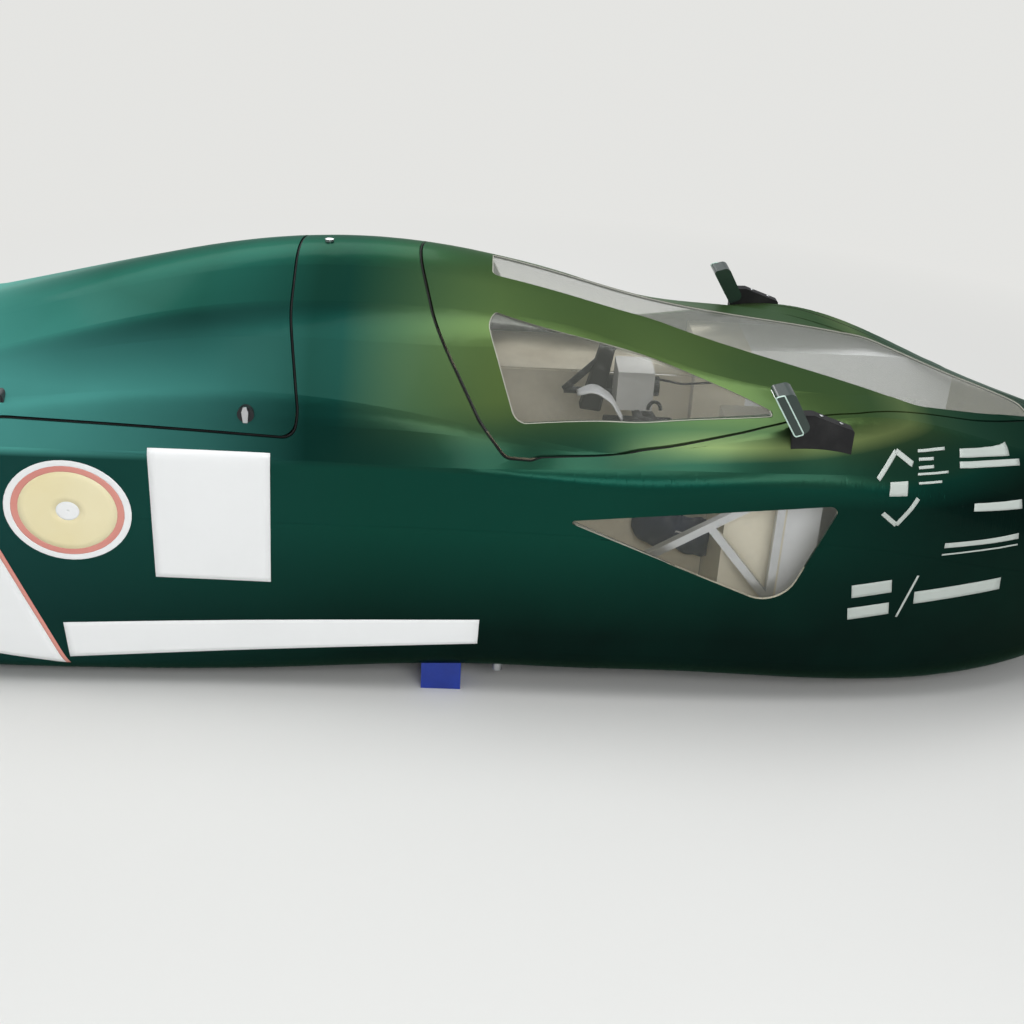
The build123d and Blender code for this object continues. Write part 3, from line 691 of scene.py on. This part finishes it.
def rounded_line(corners, step):
    """Points at even steps along a line whose corners are rounded by their third number."""
    points = [Vector(corners[0][:2])]
    for i in range(1, len(corners) - 1):
        corner, radius = Vector(corners[i][:2]), corners[i][2]
        back = (Vector(corners[i - 1][:2]) - corner).normalized()
        ahead = (Vector(corners[i + 1][:2]) - corner).normalized()
        half = back.angle(ahead) / 2
        reach = radius / math.tan(half)
        centre = corner + (back + ahead).normalized() * (radius / math.sin(half))
        start, end = corner + back * reach - centre, corner + ahead * reach - centre
        for k in range(ARC_STEPS + 1):
            points.append(centre + start.slerp(end, k / ARC_STEPS) * radius)
    points.append(Vector(corners[-1][:2]))
    return spread_evenly(points, step)


def closed_line(corners, step):
    """The same for a closed outline. It starts halfway between the last corner and the first."""
    middle = [(p + q) / 2 for p, q in zip(corners[-1][:2], corners[0][:2])]
    return rounded_line([middle, *corners, middle], step)[:-1]


print("points on a test line:", len(rounded_line([(0, 0), (1, 0, 0.1), (1, 1)], 0.1)))

# %% [markdown]
# ## The filled seam
# The lower and the upper moulding meet along the flank. On the real body this joint is filled, sanded and
# painted over, so no line shows. A strip of painted filler covers it here. Its path is found by trying
# heights until the ray just passes over the lower moulding, which is quicker than reading the joint off the
# CAD drawing. The low windows cross the seam, so each side has one run behind its window and one in front.

# %% Seam filler
FILLER_RUNS = [("rear", -1.44, 0.306), ("front", 0.69, 1.5)]
FILLER_STEP = 0.02
FILLER_HALF = 0.004
FILLER_LIFT = 0.00025
SEAM_LOW, SEAM_HIGH = 0.2, 0.45
HALVINGS = 14
lower_tree = search_tree(("lower_shell",))
filler_points, filler_faces = [], []


def seam_height(x, side):
    """The height at which the lower moulding ends."""
    under, over = SEAM_LOW, SEAM_HIGH
    for _ in range(HALVINGS):
        middle = (under + over) / 2
        found = lower_tree.ray_cast(Vector((x, side * FAR, middle)), Vector((0, -side, 0)))[0]
        under, over = (middle, over) if found else (under, middle)
    return under


def filler(name, start, end, side):
    points = []
    steps = round((end - start) / FILLER_STEP)
    for i in range(steps + 1):
        x = start + (end - start) * i / steps
        height = seam_height(x, side)
        low, low_way = on_side(x, height - FILLER_HALF, side)
        high, high_way = on_side(x, height + SEAM_STEP + FILLER_HALF, side)
        points += [low + low_way * FILLER_LIFT, (low + high) / 2 + (low_way + high_way) * FILLER_LIFT,
                   high + high_way * FILLER_LIFT]
    faces = grid_faces(steps + 1, 3)
    if side > 0:
        faces = [face[::-1] for face in faces]
    new_piece(name, points, faces, "body_green", "body")
    filler_faces.extend(tuple(len(filler_points) + i for i in face) for face in faces)
    filler_points.extend(points)


SIDES = ((-1, "right"), (1, "left"))
for side, tag in SIDES:
    for part, start, end in FILLER_RUNS:
        filler("seam_filler_%s_%s" % (part, tag), start, end, side)
OUTER_TREE = search_tree(OUTER, filler_points, filler_faces)
print("filler points:", len(filler_points))

# %% [markdown]
# ## Stickers
# The square plate, the round badge, the long strip and the pale corner are thin printed vinyl. Here they are
# blank or plain shapes. Each is a grid of points given in side view, sent onto the paint by rays, lifted by a
# hair and thickened a little, so it is real geometry that follows the crease along the flank. A picture on
# the paint would be simpler, but it would have no edge.

# %% Sticker helpers
LIFT = 0.0007
VINYL = 0.0005


def sticker(name, spot, rows, columns, side, finish, closed=False):
    """Wraps a sheet onto the flank. spot(u, v) gives (x, z) for u and v from 0 to 1. A ring is closed."""
    across = columns if closed else columns + 1
    points = []
    for i in range(rows + 1):
        for j in range(across):
            hit, normal = on_side(*spot(j / columns, i / rows), side)
            points.append(hit + normal * LIFT)
    faces = grid_faces(rows + 1, across, closed)
    if side > 0:
        faces = [face[::-1] for face in faces]
    thicken(new_piece(name, points, faces, finish, "body"), VINYL, 0)


def patch(a, b, c, d):
    """A patch between corners a, b (lower edge) and d, c (upper edge)."""
    def spot(u, v):
        low = [p + (q - p) * u for p, q in zip(a, b)]
        high = [p + (q - p) * u for p, q in zip(d, c)]
        return [p + (q - p) * v for p, q in zip(low, high)]
    return spot


def ring(centre, inner, outer, squeeze):
    """A ring around a centre in side view."""
    def spot(u, v):
        radius = inner + (outer - inner) * v
        angle = 2 * math.pi * u
        return centre[0] + radius * math.cos(angle), centre[1] + radius * squeeze * math.sin(angle)
    return spot


def stroke(start, end, width):
    """A straight bar in side view."""
    start, end = Vector(start), Vector(end)
    run = end - start
    lift = Vector((-run.y, run.x)).normalized() * width / 2
    return patch(start - lift, end - lift, end + lift, start + lift)


print("vinyl is", VINYL * 1000, "mm thick")

# %% [markdown]
# ## Where the stickers lie
# The corners were measured in the picture and turned into side-view coordinates. The real body carries a
# number, lettering and a round design. They are replaced by blank sheets, plain bars and a plain round badge
# of like size and colour.

# %% Stickers
PLATE = patch((-0.466, 0.232), (-0.266, 0.229), (-0.259, 0.478), (-0.464, 0.478))
STRIP = patch((-0.631, 0.061), (0.101, 0.116), (0.103, 0.167), (-0.636, 0.133))
WEDGE = patch((-1.4, 0.17), (-0.641, 0.045), (-0.741, 0.284), (-1.4, 0.31))
WEDGE_EDGE = patch((-0.641, 0.045), (-0.633, 0.045), (-0.732, 0.284), (-0.741, 0.284))
BADGE_CENTRE = (-0.606, 0.357)
BADGE_SQUEEZE = 0.88
# Columns: name, inner and outer radius, finish
BADGE = [
    ("badge_rim", 0.096, 0.108, "sticker"), ("badge_band", 0.084, 0.096, "red_vinyl"),
    ("badge_field", 0.02, 0.084, "yellow_vinyl"), ("badge_middle", 0.0004, 0.02, "sticker"),
]
# Plain bars where the real one carries lettering. Columns: start, end, width
BARS = [
    ((0.77, 0.473), (0.805, 0.509), 0.008), ((0.805, 0.509), (0.836, 0.488), 0.008),
    ((0.786, 0.414), (0.814, 0.391), 0.008), ((0.814, 0.391), (0.845, 0.44), 0.008),
    ((0.792, 0.457), (0.825, 0.456), 0.022),
    ((0.848, 0.504), (0.904, 0.499), 0.004), ((0.849, 0.493), (0.879, 0.49), 0.004),
    ((0.848, 0.482), (0.878, 0.48), 0.004), ((0.845, 0.474), (0.907, 0.469), 0.003),
    ((0.846, 0.462), (0.892, 0.459), 0.003),
    ((0.936, 0.487), (1.05, 0.467), 0.011), ((0.933, 0.473), (1.07, 0.45), 0.008),
    ((0.956, 0.414), (1.059, 0.402), 0.012), ((0.912, 0.346), (1.053, 0.354), 0.01),
    ((0.911, 0.327), (1.054, 0.338), 0.003),
    ((0.761, 0.251), (0.832, 0.263), 0.027), ((0.762, 0.203), (0.836, 0.215), 0.025),
    ((0.854, 0.195), (0.877, 0.284), 0.004), ((0.879, 0.236), (1.041, 0.256), 0.026),
]
for side, tag in SIDES:
    sticker("plate_" + tag, PLATE, 24, 14, side, "sticker")
    sticker("strip_" + tag, STRIP, 8, 60, side, "sticker")
    sticker("corner_" + tag, WEDGE, 24, 48, side, "sticker")
    sticker("corner_line_" + tag, WEDGE_EDGE, 24, 2, side, "red_vinyl")
    for name, inner, outer, finish in BADGE:
        sticker(name + "_" + tag, ring(BADGE_CENTRE, inner, outer, BADGE_SQUEEZE), 5, 48, side, finish, True)
    for number, bar in enumerate(BARS):
        sticker("bar_%d_%s" % (number, tag), stroke(*bar), 4, 12, side, "bar_vinyl")
print("stickers on each side:", 4 + len(BADGE) + len(BARS))

# %% [markdown]
# ## The edge of a panel
# A soft black gasket lies in the gap round the canopy and round the rear hatch. Its path is found on the CAD
# mesh: the outer skin of the upper body is grown face by face until it meets a sharp edge, and the edge of
# that skin is the line. It also knows which way is out and which way is off the panel, so the gasket can be
# sunk into the gap. Copying the outline by hand would miss its small bends.

# %% Edges of a skin
SHARP = math.radians(24)
SAME_POINT = 2e-5


def outer_skin(mesh, direction):
    """Faces that run on smoothly from the one that lies and looks furthest in a direction, by index."""
    seed = max(mesh.faces, key=lambda f: f.calc_center_median().dot(direction) + f.normal.dot(direction))
    skin, waiting = {seed}, [seed]
    while waiting:
        for edge in waiting.pop().edges:
            for other in edge.link_faces:
                if other not in skin and edge.calc_face_angle(math.pi) < SHARP:
                    skin.add(other)
                    waiting.append(other)
    return sorted(skin, key=lambda face: face.index)


def skin_edges(name, direction):
    """The edges of a node's outer skin: closed lines of (point, outward, off the panel), longest first."""
    mesh = bmesh.new()
    mesh.from_mesh(NODES[name].data)
    bmesh.ops.remove_doubles(mesh, verts=mesh.verts, dist=SAME_POINT)
    mesh.normal_update()
    mesh.verts.index_update()
    mesh.faces.index_update()
    skin = outer_skin(mesh, direction)
    kept = set(skin)
    links, outward, off = {}, {}, {}
    for face in skin:
        for edge in face.edges:
            if sum(other in kept for other in edge.link_faces) != 1:
                continue
            a, b = edge.verts
            away = (b.co - a.co).normalized().cross(face.normal)
            if away.dot(face.calc_center_median() - a.co) > 0:
                away.negate()
            for vert, other in ((a, b), (b, a)):
                links.setdefault(vert, []).append(other)
                outward[vert] = outward.get(vert, Vector()) + face.normal
                off[vert] = off.get(vert, Vector()) + away
    loops = []
    left = set(links)
    while left:
        line = [min(left, key=lambda vert: vert.index)]
        left.discard(line[0])
        for _ in range(2):  # Walk on from one end, then from the other
            while ahead := [v for v in links[line[-1]] if v in left]:
                line.append(min(ahead, key=lambda vert: vert.index))
                left.discard(line[-1])
            line.reverse()
        loops.append([(v.co.copy(), outward[v].normalized(), off[v].normalized()) for v in line])
    mesh.free()
    return sorted(loops, key=lambda line: -sum((a[0] - b[0]).length for a, b in zip(line, line[1:])))


OPENING_LOW = 0.42
openings = [line for line in skin_edges("body_top", UP) if min(spot[0].z for spot in line) > OPENING_LOW][:2]
print("points on the edges of the openings:", [len(line) for line in openings])

# %% [markdown]
# ## Seals and glue lines
# The gasket is a black rubber cord, and a thin pale bead of glue holds each pane. A pane's outline has few
# corners, so it is drawn flat and sent onto the pane by rays. Both are round cords, half sunk in their gap.

# %% Seals
# Columns: off the panel, sunk under the surface, radius, finish
GASKET = (0.0025, 0.004, 0.0021, "rubber")
GLUE = (0.0, 0.0008, 0.0012, "glue")
BEAD_STEP = 0.006
BEAD_SIDES = 6
INSET = 0.0008
SCREEN_HALF = [(0.102, 0.066, 0.014), (0.4, 0.066, 0.2), (0.88, 0.188, 0.06), (1.156, 0.042, 0.04)]
SCREEN = SCREEN_HALF + [(x, -y, r) for x, y, r in reversed(SCREEN_HALF)]
SIDE_WINDOW = [(0.091, 0.678, 0.012), (0.608, 0.549, 0.003), (0.367, 0.52, 0.4), (0.15, 0.528, 0.03)]
LOWER_WINDOW = [(0.243, 0.376, 0.004), (0.714, 0.427, 0.014), (0.636, 0.213, 0.06)]


def bead(name, line, off, sink, radius, finish, body):
    """A closed cord along a line, moved off the panel and sunk under the surface."""
    points = []
    for point, outward, away in line:
        spot = point + away * off - outward * sink
        turned = len(points) > 1 and (spot - points[-1]).dot(points[-1] - points[-2]) < 0
        if not points or ((spot - points[-1]).length > BEAD_STEP and not turned):
            points.append(spot)
    new_piece(name, *tube(points, radius, True, BEAD_SIDES), finish, body)


def glue_line(name, corners, side, body):
    """A bead round a pane. The outline is in plan for side 0, or else in side view."""
    pane = search_tree((name,))
    spots = closed_line(corners, BEAD_STEP)
    middle = sum(spots, Vector((0, 0))) / len(spots)
    line = []
    for spot in spots:
        spot = spot + (middle - spot).normalized() * INSET
        start = Vector((spot.x, side * FAR, spot.y)) if side else Vector((spot.x, spot.y, FAR))
        hit, normal, _, _ = pane.ray_cast(start, Vector((0, -side, 0)) if side else -UP)
        if hit:
            line.append((hit, normal, Vector()))
    bead("glue_" + name, line, *GLUE, body)
    return len(line)


for line in openings:
    front = sum(spot[0].x for spot in line) > 0
    bead("canopy_seal" if front else "hatch_seal", line, *GASKET, "body")
print("windscreen bead:", glue_line("windscreen", SCREEN, 0, "canopy"))
for side, tag in SIDES:
    print("window beads:", glue_line("canopy_window_" + tag, SIDE_WINDOW, side, "canopy"),
          glue_line("lower_window_" + tag, LOWER_WINDOW, side, "body"))

# %% [markdown]
# ## Tyres
# The tyres of such a vehicle are narrow slicks with a few grooves. Each one is turned from a profile with the
# grooves in it and stands for the plain CAD tyre. A displaced surface could carry the grooves too, but it
# would need far more faces. The rubber's fine grain is left to the material.

# %% Tyres
# The profile. Columns: across the tyre, radius
TREAD = [
    (-0.0125, 0.205), (-0.017, 0.212), (-0.0209, 0.221), (-0.019, 0.2285), (-0.0145, 0.2342),
    (-0.0095, 0.2368), (-0.0088, 0.2352), (-0.0072, 0.2352), (-0.0065, 0.2376), (-0.002, 0.2386),
    (-0.0012, 0.2368), (0.0012, 0.2368), (0.002, 0.2386), (0.0065, 0.2376), (0.0072, 0.2352),
    (0.0088, 0.2352), (0.0095, 0.2368), (0.0145, 0.2342), (0.019, 0.2285), (0.0209, 0.221),
    (0.017, 0.212), (0.0125, 0.205),
]
TYRE_TURNS = 44


def tread(centre):
    points = []
    for k in range(TYRE_TURNS):
        angle = 2 * math.pi * k / TYRE_TURNS
        for across, radius in TREAD:
            points.append(centre + Vector((radius * math.cos(angle), across, radius * math.sin(angle))))
    count = len(TREAD)
    faces = [face[::-1] for face in grid_faces(TYRE_TURNS, count, True)]
    last = (TYRE_TURNS - 1) * count
    faces += [(last + (j + 1) % count, last + j, j, (j + 1) % count) for j in range(count)]
    return points, faces


for tag in ("front_left", "front_right", "rear"):
    low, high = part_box("tyre_" + tag)
    tyre = new_piece("tyre_tread_" + tag, *tread((low + high) / 2), "tyre", "wheel_" + tag)
    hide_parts("tyre_" + tag)
print("tyres: 3")

# %% [markdown]
# ## Seat cushion
# The driver lies on a thin foam pad. Its cover is sewn into channels, so the pad swells between the seams and
# pulls in at the rim. It is one closed form: a crowned upper skin and a flat underside along the line of the
# seat pan. Sculpting it would give softer folds, but sines keep the seams evenly spaced.

# %% Cushion
SEAT_LINE = [(-0.056, 0.53), (0.332, 0.072, 0.06), (0.478, 0.066, 0.04), (0.58, 0.156)]
SEAT_STEP = 0.001
PAD_HALF = 0.138
PAD_THICK = 0.023
PAD_LEAST = 0.08
PAD_LIFT = 0.0004
CHANNELS = 11
PAD_ROWS = 110
PAD_COLUMNS = 26
SEAM_WAIST = 0.985


def cushion():
    line = rounded_line(SEAT_LINE, SEAT_STEP)
    points = []
    for i in range(PAD_ROWS + 1):
        share = i / PAD_ROWS
        at = min(int(share * (len(line) - 1)), len(line) - 2)
        spot, run = line[at], (line[at + 1] - line[at]).normalized()
        outward = Vector((-run.y, run.x))
        channel = abs(math.sin(math.pi * share * CHANNELS))
        swell = 0.62 + 0.38 * channel ** 0.6
        end = (1 - abs(2 * share - 1) ** 24) ** 0.5
        for j in range(PAD_COLUMNS + 1):
            across = 2 * j / PAD_COLUMNS - 1
            rim = (1 - abs(across) ** 10) ** 0.5
            height = PAD_THICK * max(PAD_LEAST, swell * rim * end)
            width = PAD_HALF * across * (SEAM_WAIST + 0.015 * channel)
            place = spot + outward * (PAD_LIFT + height)
            points.append(Vector((place.x, width, place.y)))
        for j in range(PAD_COLUMNS + 1):
            across = 1 - 2 * j / PAD_COLUMNS
            place = spot + outward * PAD_LIFT
            points.append(Vector((place.x, PAD_HALF * SEAM_WAIST * across, place.y)))
    wide = 2 * (PAD_COLUMNS + 1)
    faces = grid_faces(PAD_ROWS + 1, wide, True)
    faces.append(tuple(range(wide)))
    faces.append(tuple(PAD_ROWS * wide + k for k in range(wide))[::-1])
    return new_piece("cushion", points, faces, "seat_fabric", "body")


pad = cushion()
face_outward(pad)
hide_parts("seat_cushion")
print("cushion faces:", len(pad.data.polygons))

# %% [markdown]
# ## Turned and flat pieces
# Small fittings are of two kinds: screws are turned about an axis, and levers and boards are cut from sheet.
# Two helpers make them from a profile or an outline. Ready-made cylinders and cubes would do for a distant
# view, but their edges are too sharp up close.

# %% Turned and flat pieces


def turned_piece(name, profile, centre, axis, finish, body, turns):
    """A mesh turned about an axis through a centre. Profile rows are (along, radius)."""
    turn = axis.normalized().to_track_quat("Z", "Y")
    points = []
    for along, radius in profile:
        for k in range(turns):
            angle = 2 * math.pi * k / turns
            points.append(centre + turn @ Vector((radius * math.cos(angle), radius * math.sin(angle), along)))
    faces = grid_faces(len(profile), turns, True)
    faces.append(tuple(range(turns))[::-1])
    faces.append(tuple((len(profile) - 1) * turns + k for k in range(turns)))
    new_piece(name, points, faces, finish, body)


def slab(name, outline, thickness, centre, across, finish, body, bevel=0.0008):
    """An upright plate with a softened edge. The outline is in the plane of across and up."""
    outward = across.cross(UP)
    count = len(outline)
    points = []
    for depth in (-thickness / 2, thickness / 2):
        points += [centre + across * u + UP * v + outward * depth for u, v in outline]
    faces = [tuple(range(count))[::-1], tuple(range(count, 2 * count))]
    faces += [(i, (i + 1) % count, count + (i + 1) % count, count + i) for i in range(count)]
    soft = new_piece(name, points, faces, finish, body, False).modifiers.new("soft", "BEVEL")
    soft.width = bevel
    soft.segments = 2


print("fitting helpers ready")

# %% [markdown]
# ## Small fittings
# Outside there are levers on the hatch latches, screws on the mirror feet and a pale rim round each mirror.
# Through the windows one sees a cable along the cabin and a white curved hand guard at the right grip. The
# guard is a bent sheet, so it is a grid with a crown and a taper that is thickened afterwards.

# %% Fittings
# Profiles and outlines in metres
SCREW = [(0.0, 0.0038), (0.0012, 0.0038), (0.002, 0.003), (0.002, 0.0014), (0.001, 0.0013)]
SCREW_SIDES = 12
FOOT_SCREWS = [(0.664, 0.352), (0.7, 0.352)]
LEVER = [(-0.004, -0.013), (0.004, -0.013), (0.006, 0.006), (0.003, 0.015), (-0.003, 0.015), (-0.006, 0.006)]
LEVERS = [(-0.3, 0.54), (-0.715, 0.54)]
LEVER_THICK, LEVER_OUT = 0.0045, 0.0085
FRAME = [(0.5745, 0.6145, 0.002), (0.6165, 0.5465, 0.002), (0.631, 0.5515, 0.002), (0.589, 0.6195, 0.002)]
FRAME_Y, FRAME_RADIUS, FRAME_STEP = 0.3862, 0.0013, 0.004
CABLE = [(0.43, 0.45), (0.5, 0.438, 0.04), (0.58, 0.446, 0.06), (0.7, 0.436)]
CABLE_Y, CABLE_RADIUS, CABLE_STEP = 0.12, 0.0024, 0.008
GUARD = [(0.268, 0.498), (0.3, 0.512, 0.03), (0.334, 0.49, 0.04), (0.358, 0.45)]
GUARD_Y, GUARD_HALF, GUARD_CROWN, GUARD_THICK = -0.108, 0.022, 0.007, 0.003
GUARD_STEP, GUARD_COLUMNS = 0.006, 7
for side, tag in SIDES:
    for number, (x, z) in enumerate(LEVERS):
        centre = Vector((x, on_side(x, z, side)[0].y + side * LEVER_OUT, z))
        slab("lever_%d_%s" % (number, tag), LEVER, LEVER_THICK, centre, AHEAD * -side, "steel", "hatch")
    foot = search_tree(("mirror_foot_" + tag,))
    for number, (x, y) in enumerate(FOOT_SCREWS):
        hit, normal, _, _ = foot.ray_cast(Vector((x, side * y, 1)), -UP)
        turned_piece("foot_screw_%d_%s" % (number, tag), SCREW, hit, normal, "steel", "body", SCREW_SIDES)
    rim = [Vector((spot.x, side * FRAME_Y, spot.y)) for spot in closed_line(FRAME, FRAME_STEP)]
    new_piece("mirror_frame_" + tag, *tube(rim, FRAME_RADIUS, True, 6), "pale_rim", "body")
    cable = [Vector((spot.x, side * CABLE_Y, spot.y)) for spot in rounded_line(CABLE, CABLE_STEP)]
    new_piece("cable_" + tag, *tube(cable, CABLE_RADIUS), "rubber", "body")

line = rounded_line(GUARD, GUARD_STEP)
points = []
for i, spot in enumerate(line):
    half = GUARD_HALF * (0.45 + 0.55 * math.sin(math.pi * i / (len(line) - 1)) ** 0.5)
    for k in range(GUARD_COLUMNS):
        angle = math.pi * k / (GUARD_COLUMNS - 1)
        crown = GUARD_CROWN * math.sin(angle)
        points.append(Vector((spot.x, GUARD_Y + half * math.cos(angle), spot.y + crown)))
guard = new_piece("hand_guard", points, grid_faces(len(line), GUARD_COLUMNS), "sticker", "body")
thicken(guard, GUARD_THICK)
print("fittings on each side:", len(LEVERS) + len(FOOT_SCREWS) + 2)

# %% [markdown]
# ## Inside the cabin
# The driver lies in a tub of cream laminate. Its side boards stand between the seat and the trusses, and a
# shelf runs along the left wall. A black shroud belongs to the steering. They are guessed from what shows
# through the glass. Boards are cut from their outlines, and the shelf feels for the wall with rays, so that
# it ends at the laminate wherever the body bulges.

# %% Boards and shelf
BOARD = [(-0.139, 0.085), (0.526, 0.085), (0.526, 0.438), (0.4, 0.438), (0.04, 0.44), (-0.139, 0.455)]
BOARD_Y = 0.168
BOARD_THICK = 0.003
SHELF_X = (-0.138, 0.526)
SHELF_Z = 0.4395
SHELF_STEPS = 24
SHELF_REACH, WALL_GAP = 0.36, 0.0015
SHROUD = [(0.287, 0.405), (0.33, 0.4), (0.35, 0.535), (0.322, 0.54)]
SHROUD_Y, SHROUD_THICK, SHROUD_BEVEL = 0.06, 0.032, 0.004
for side, tag in SIDES:
    slab("tub_board_" + tag, BOARD, BOARD_THICK, Vector((0, side * BOARD_Y, 0)), AHEAD, "cream_panel", "body")

inner_tree = search_tree(("lower_shell", "body_top"))
points = []
for i in range(SHELF_STEPS + 1):
    x = SHELF_X[0] + (SHELF_X[1] - SHELF_X[0]) * i / SHELF_STEPS
    wall = inner_tree.ray_cast(Vector((x, BOARD_Y, SHELF_Z)), Vector((0, 1, 0)))[0]
    reach = (wall.y if wall else SHELF_REACH) - WALL_GAP
    points += [Vector((x, BOARD_Y + (reach - BOARD_Y) * j / 4, SHELF_Z)) for j in range(5)]
shelf = new_piece("shelf", points, grid_faces(SHELF_STEPS + 1, 5), "cream_panel", "body", False)
thicken(shelf, BOARD_THICK)
slab("shroud", SHROUD, SHROUD_THICK, Vector((0, SHROUD_Y, 0)), AHEAD, "black_plastic", "body", SHROUD_BEVEL)
print("boards, shelf and shroud done")

# %% [markdown]
# ## Pouch and handle
# A navy cloth pouch hangs between the right board and the truss, and a small handle stands on the display.
# The pouch is a grid that is swollen and creased with sines, which gives folds without a cloth simulation.

# %% Pouch and handle
POUCH_X = (0.385, 0.548)
POUCH_Z = (0.222, 0.3)
POUCH_DEEP = 0.045
POUCH_GAP = 0.003
POUCH_LEAST = 0.04
LABEL = [(-0.014, -0.006), (0.012, -0.009), (0.016, 0.004), (-0.006, 0.01)]
LABEL_PLACE = Vector((0.47, -BOARD_Y - 0.05, 0.266))
LABEL_THICK = 0.0015
HANDLE_PLACE, HANDLE_HALF, HANDLE_RISE = Vector((0.424, -0.049, 0.448)), 0.012, 0.016
HANDLE_RADIUS, HANDLE_STEPS = 0.0035, 12


def pouch(rows=26, columns=40):
    points = []
    for i in range(rows + 1):
        for j in range(columns):
            u, angle = i / rows, 2 * math.pi * j / columns
            end = max(POUCH_LEAST, 1 - abs(2 * u - 1) ** 4) ** 0.5
            wave = 0.12 * math.sin(9 * u + 2 * math.cos(angle)) + 0.08 * math.sin(21 * u + 3 * angle)
            tall = (POUCH_Z[1] - POUCH_Z[0]) / 2 * end * (1 + wave)
            sag = 0.012 * math.sin(math.pi * u * 1.6 + 0.6)
            y = -BOARD_Y - POUCH_GAP - POUCH_DEEP * end * (1 + wave) * (1 - math.cos(angle)) / 2
            z = sum(POUCH_Z) / 2 + sag + tall * math.sin(angle)
            points.append(Vector((POUCH_X[0] + (POUCH_X[1] - POUCH_X[0]) * u, y, z)))
    faces = grid_faces(rows + 1, columns, True)
    faces += [tuple(range(columns))[::-1], tuple(rows * columns + k for k in range(columns))]
    return new_piece("pouch", points, faces, "navy_cloth", "body")


bag = pouch()
face_outward(bag)
slab("pouch_label", LABEL, LABEL_THICK, LABEL_PLACE, AHEAD, "sticker", "body")
arch = []
for k in range(HANDLE_STEPS + 1):
    angle = math.pi * k / HANDLE_STEPS
    arch.append(HANDLE_PLACE + Vector((HANDLE_HALF * math.cos(angle), 0, HANDLE_RISE * math.sin(angle))))
new_piece("display_handle", *tube(arch, HANDLE_RADIUS), "black_plastic", "body")
print("pouch faces:", len(bag.data.polygons))
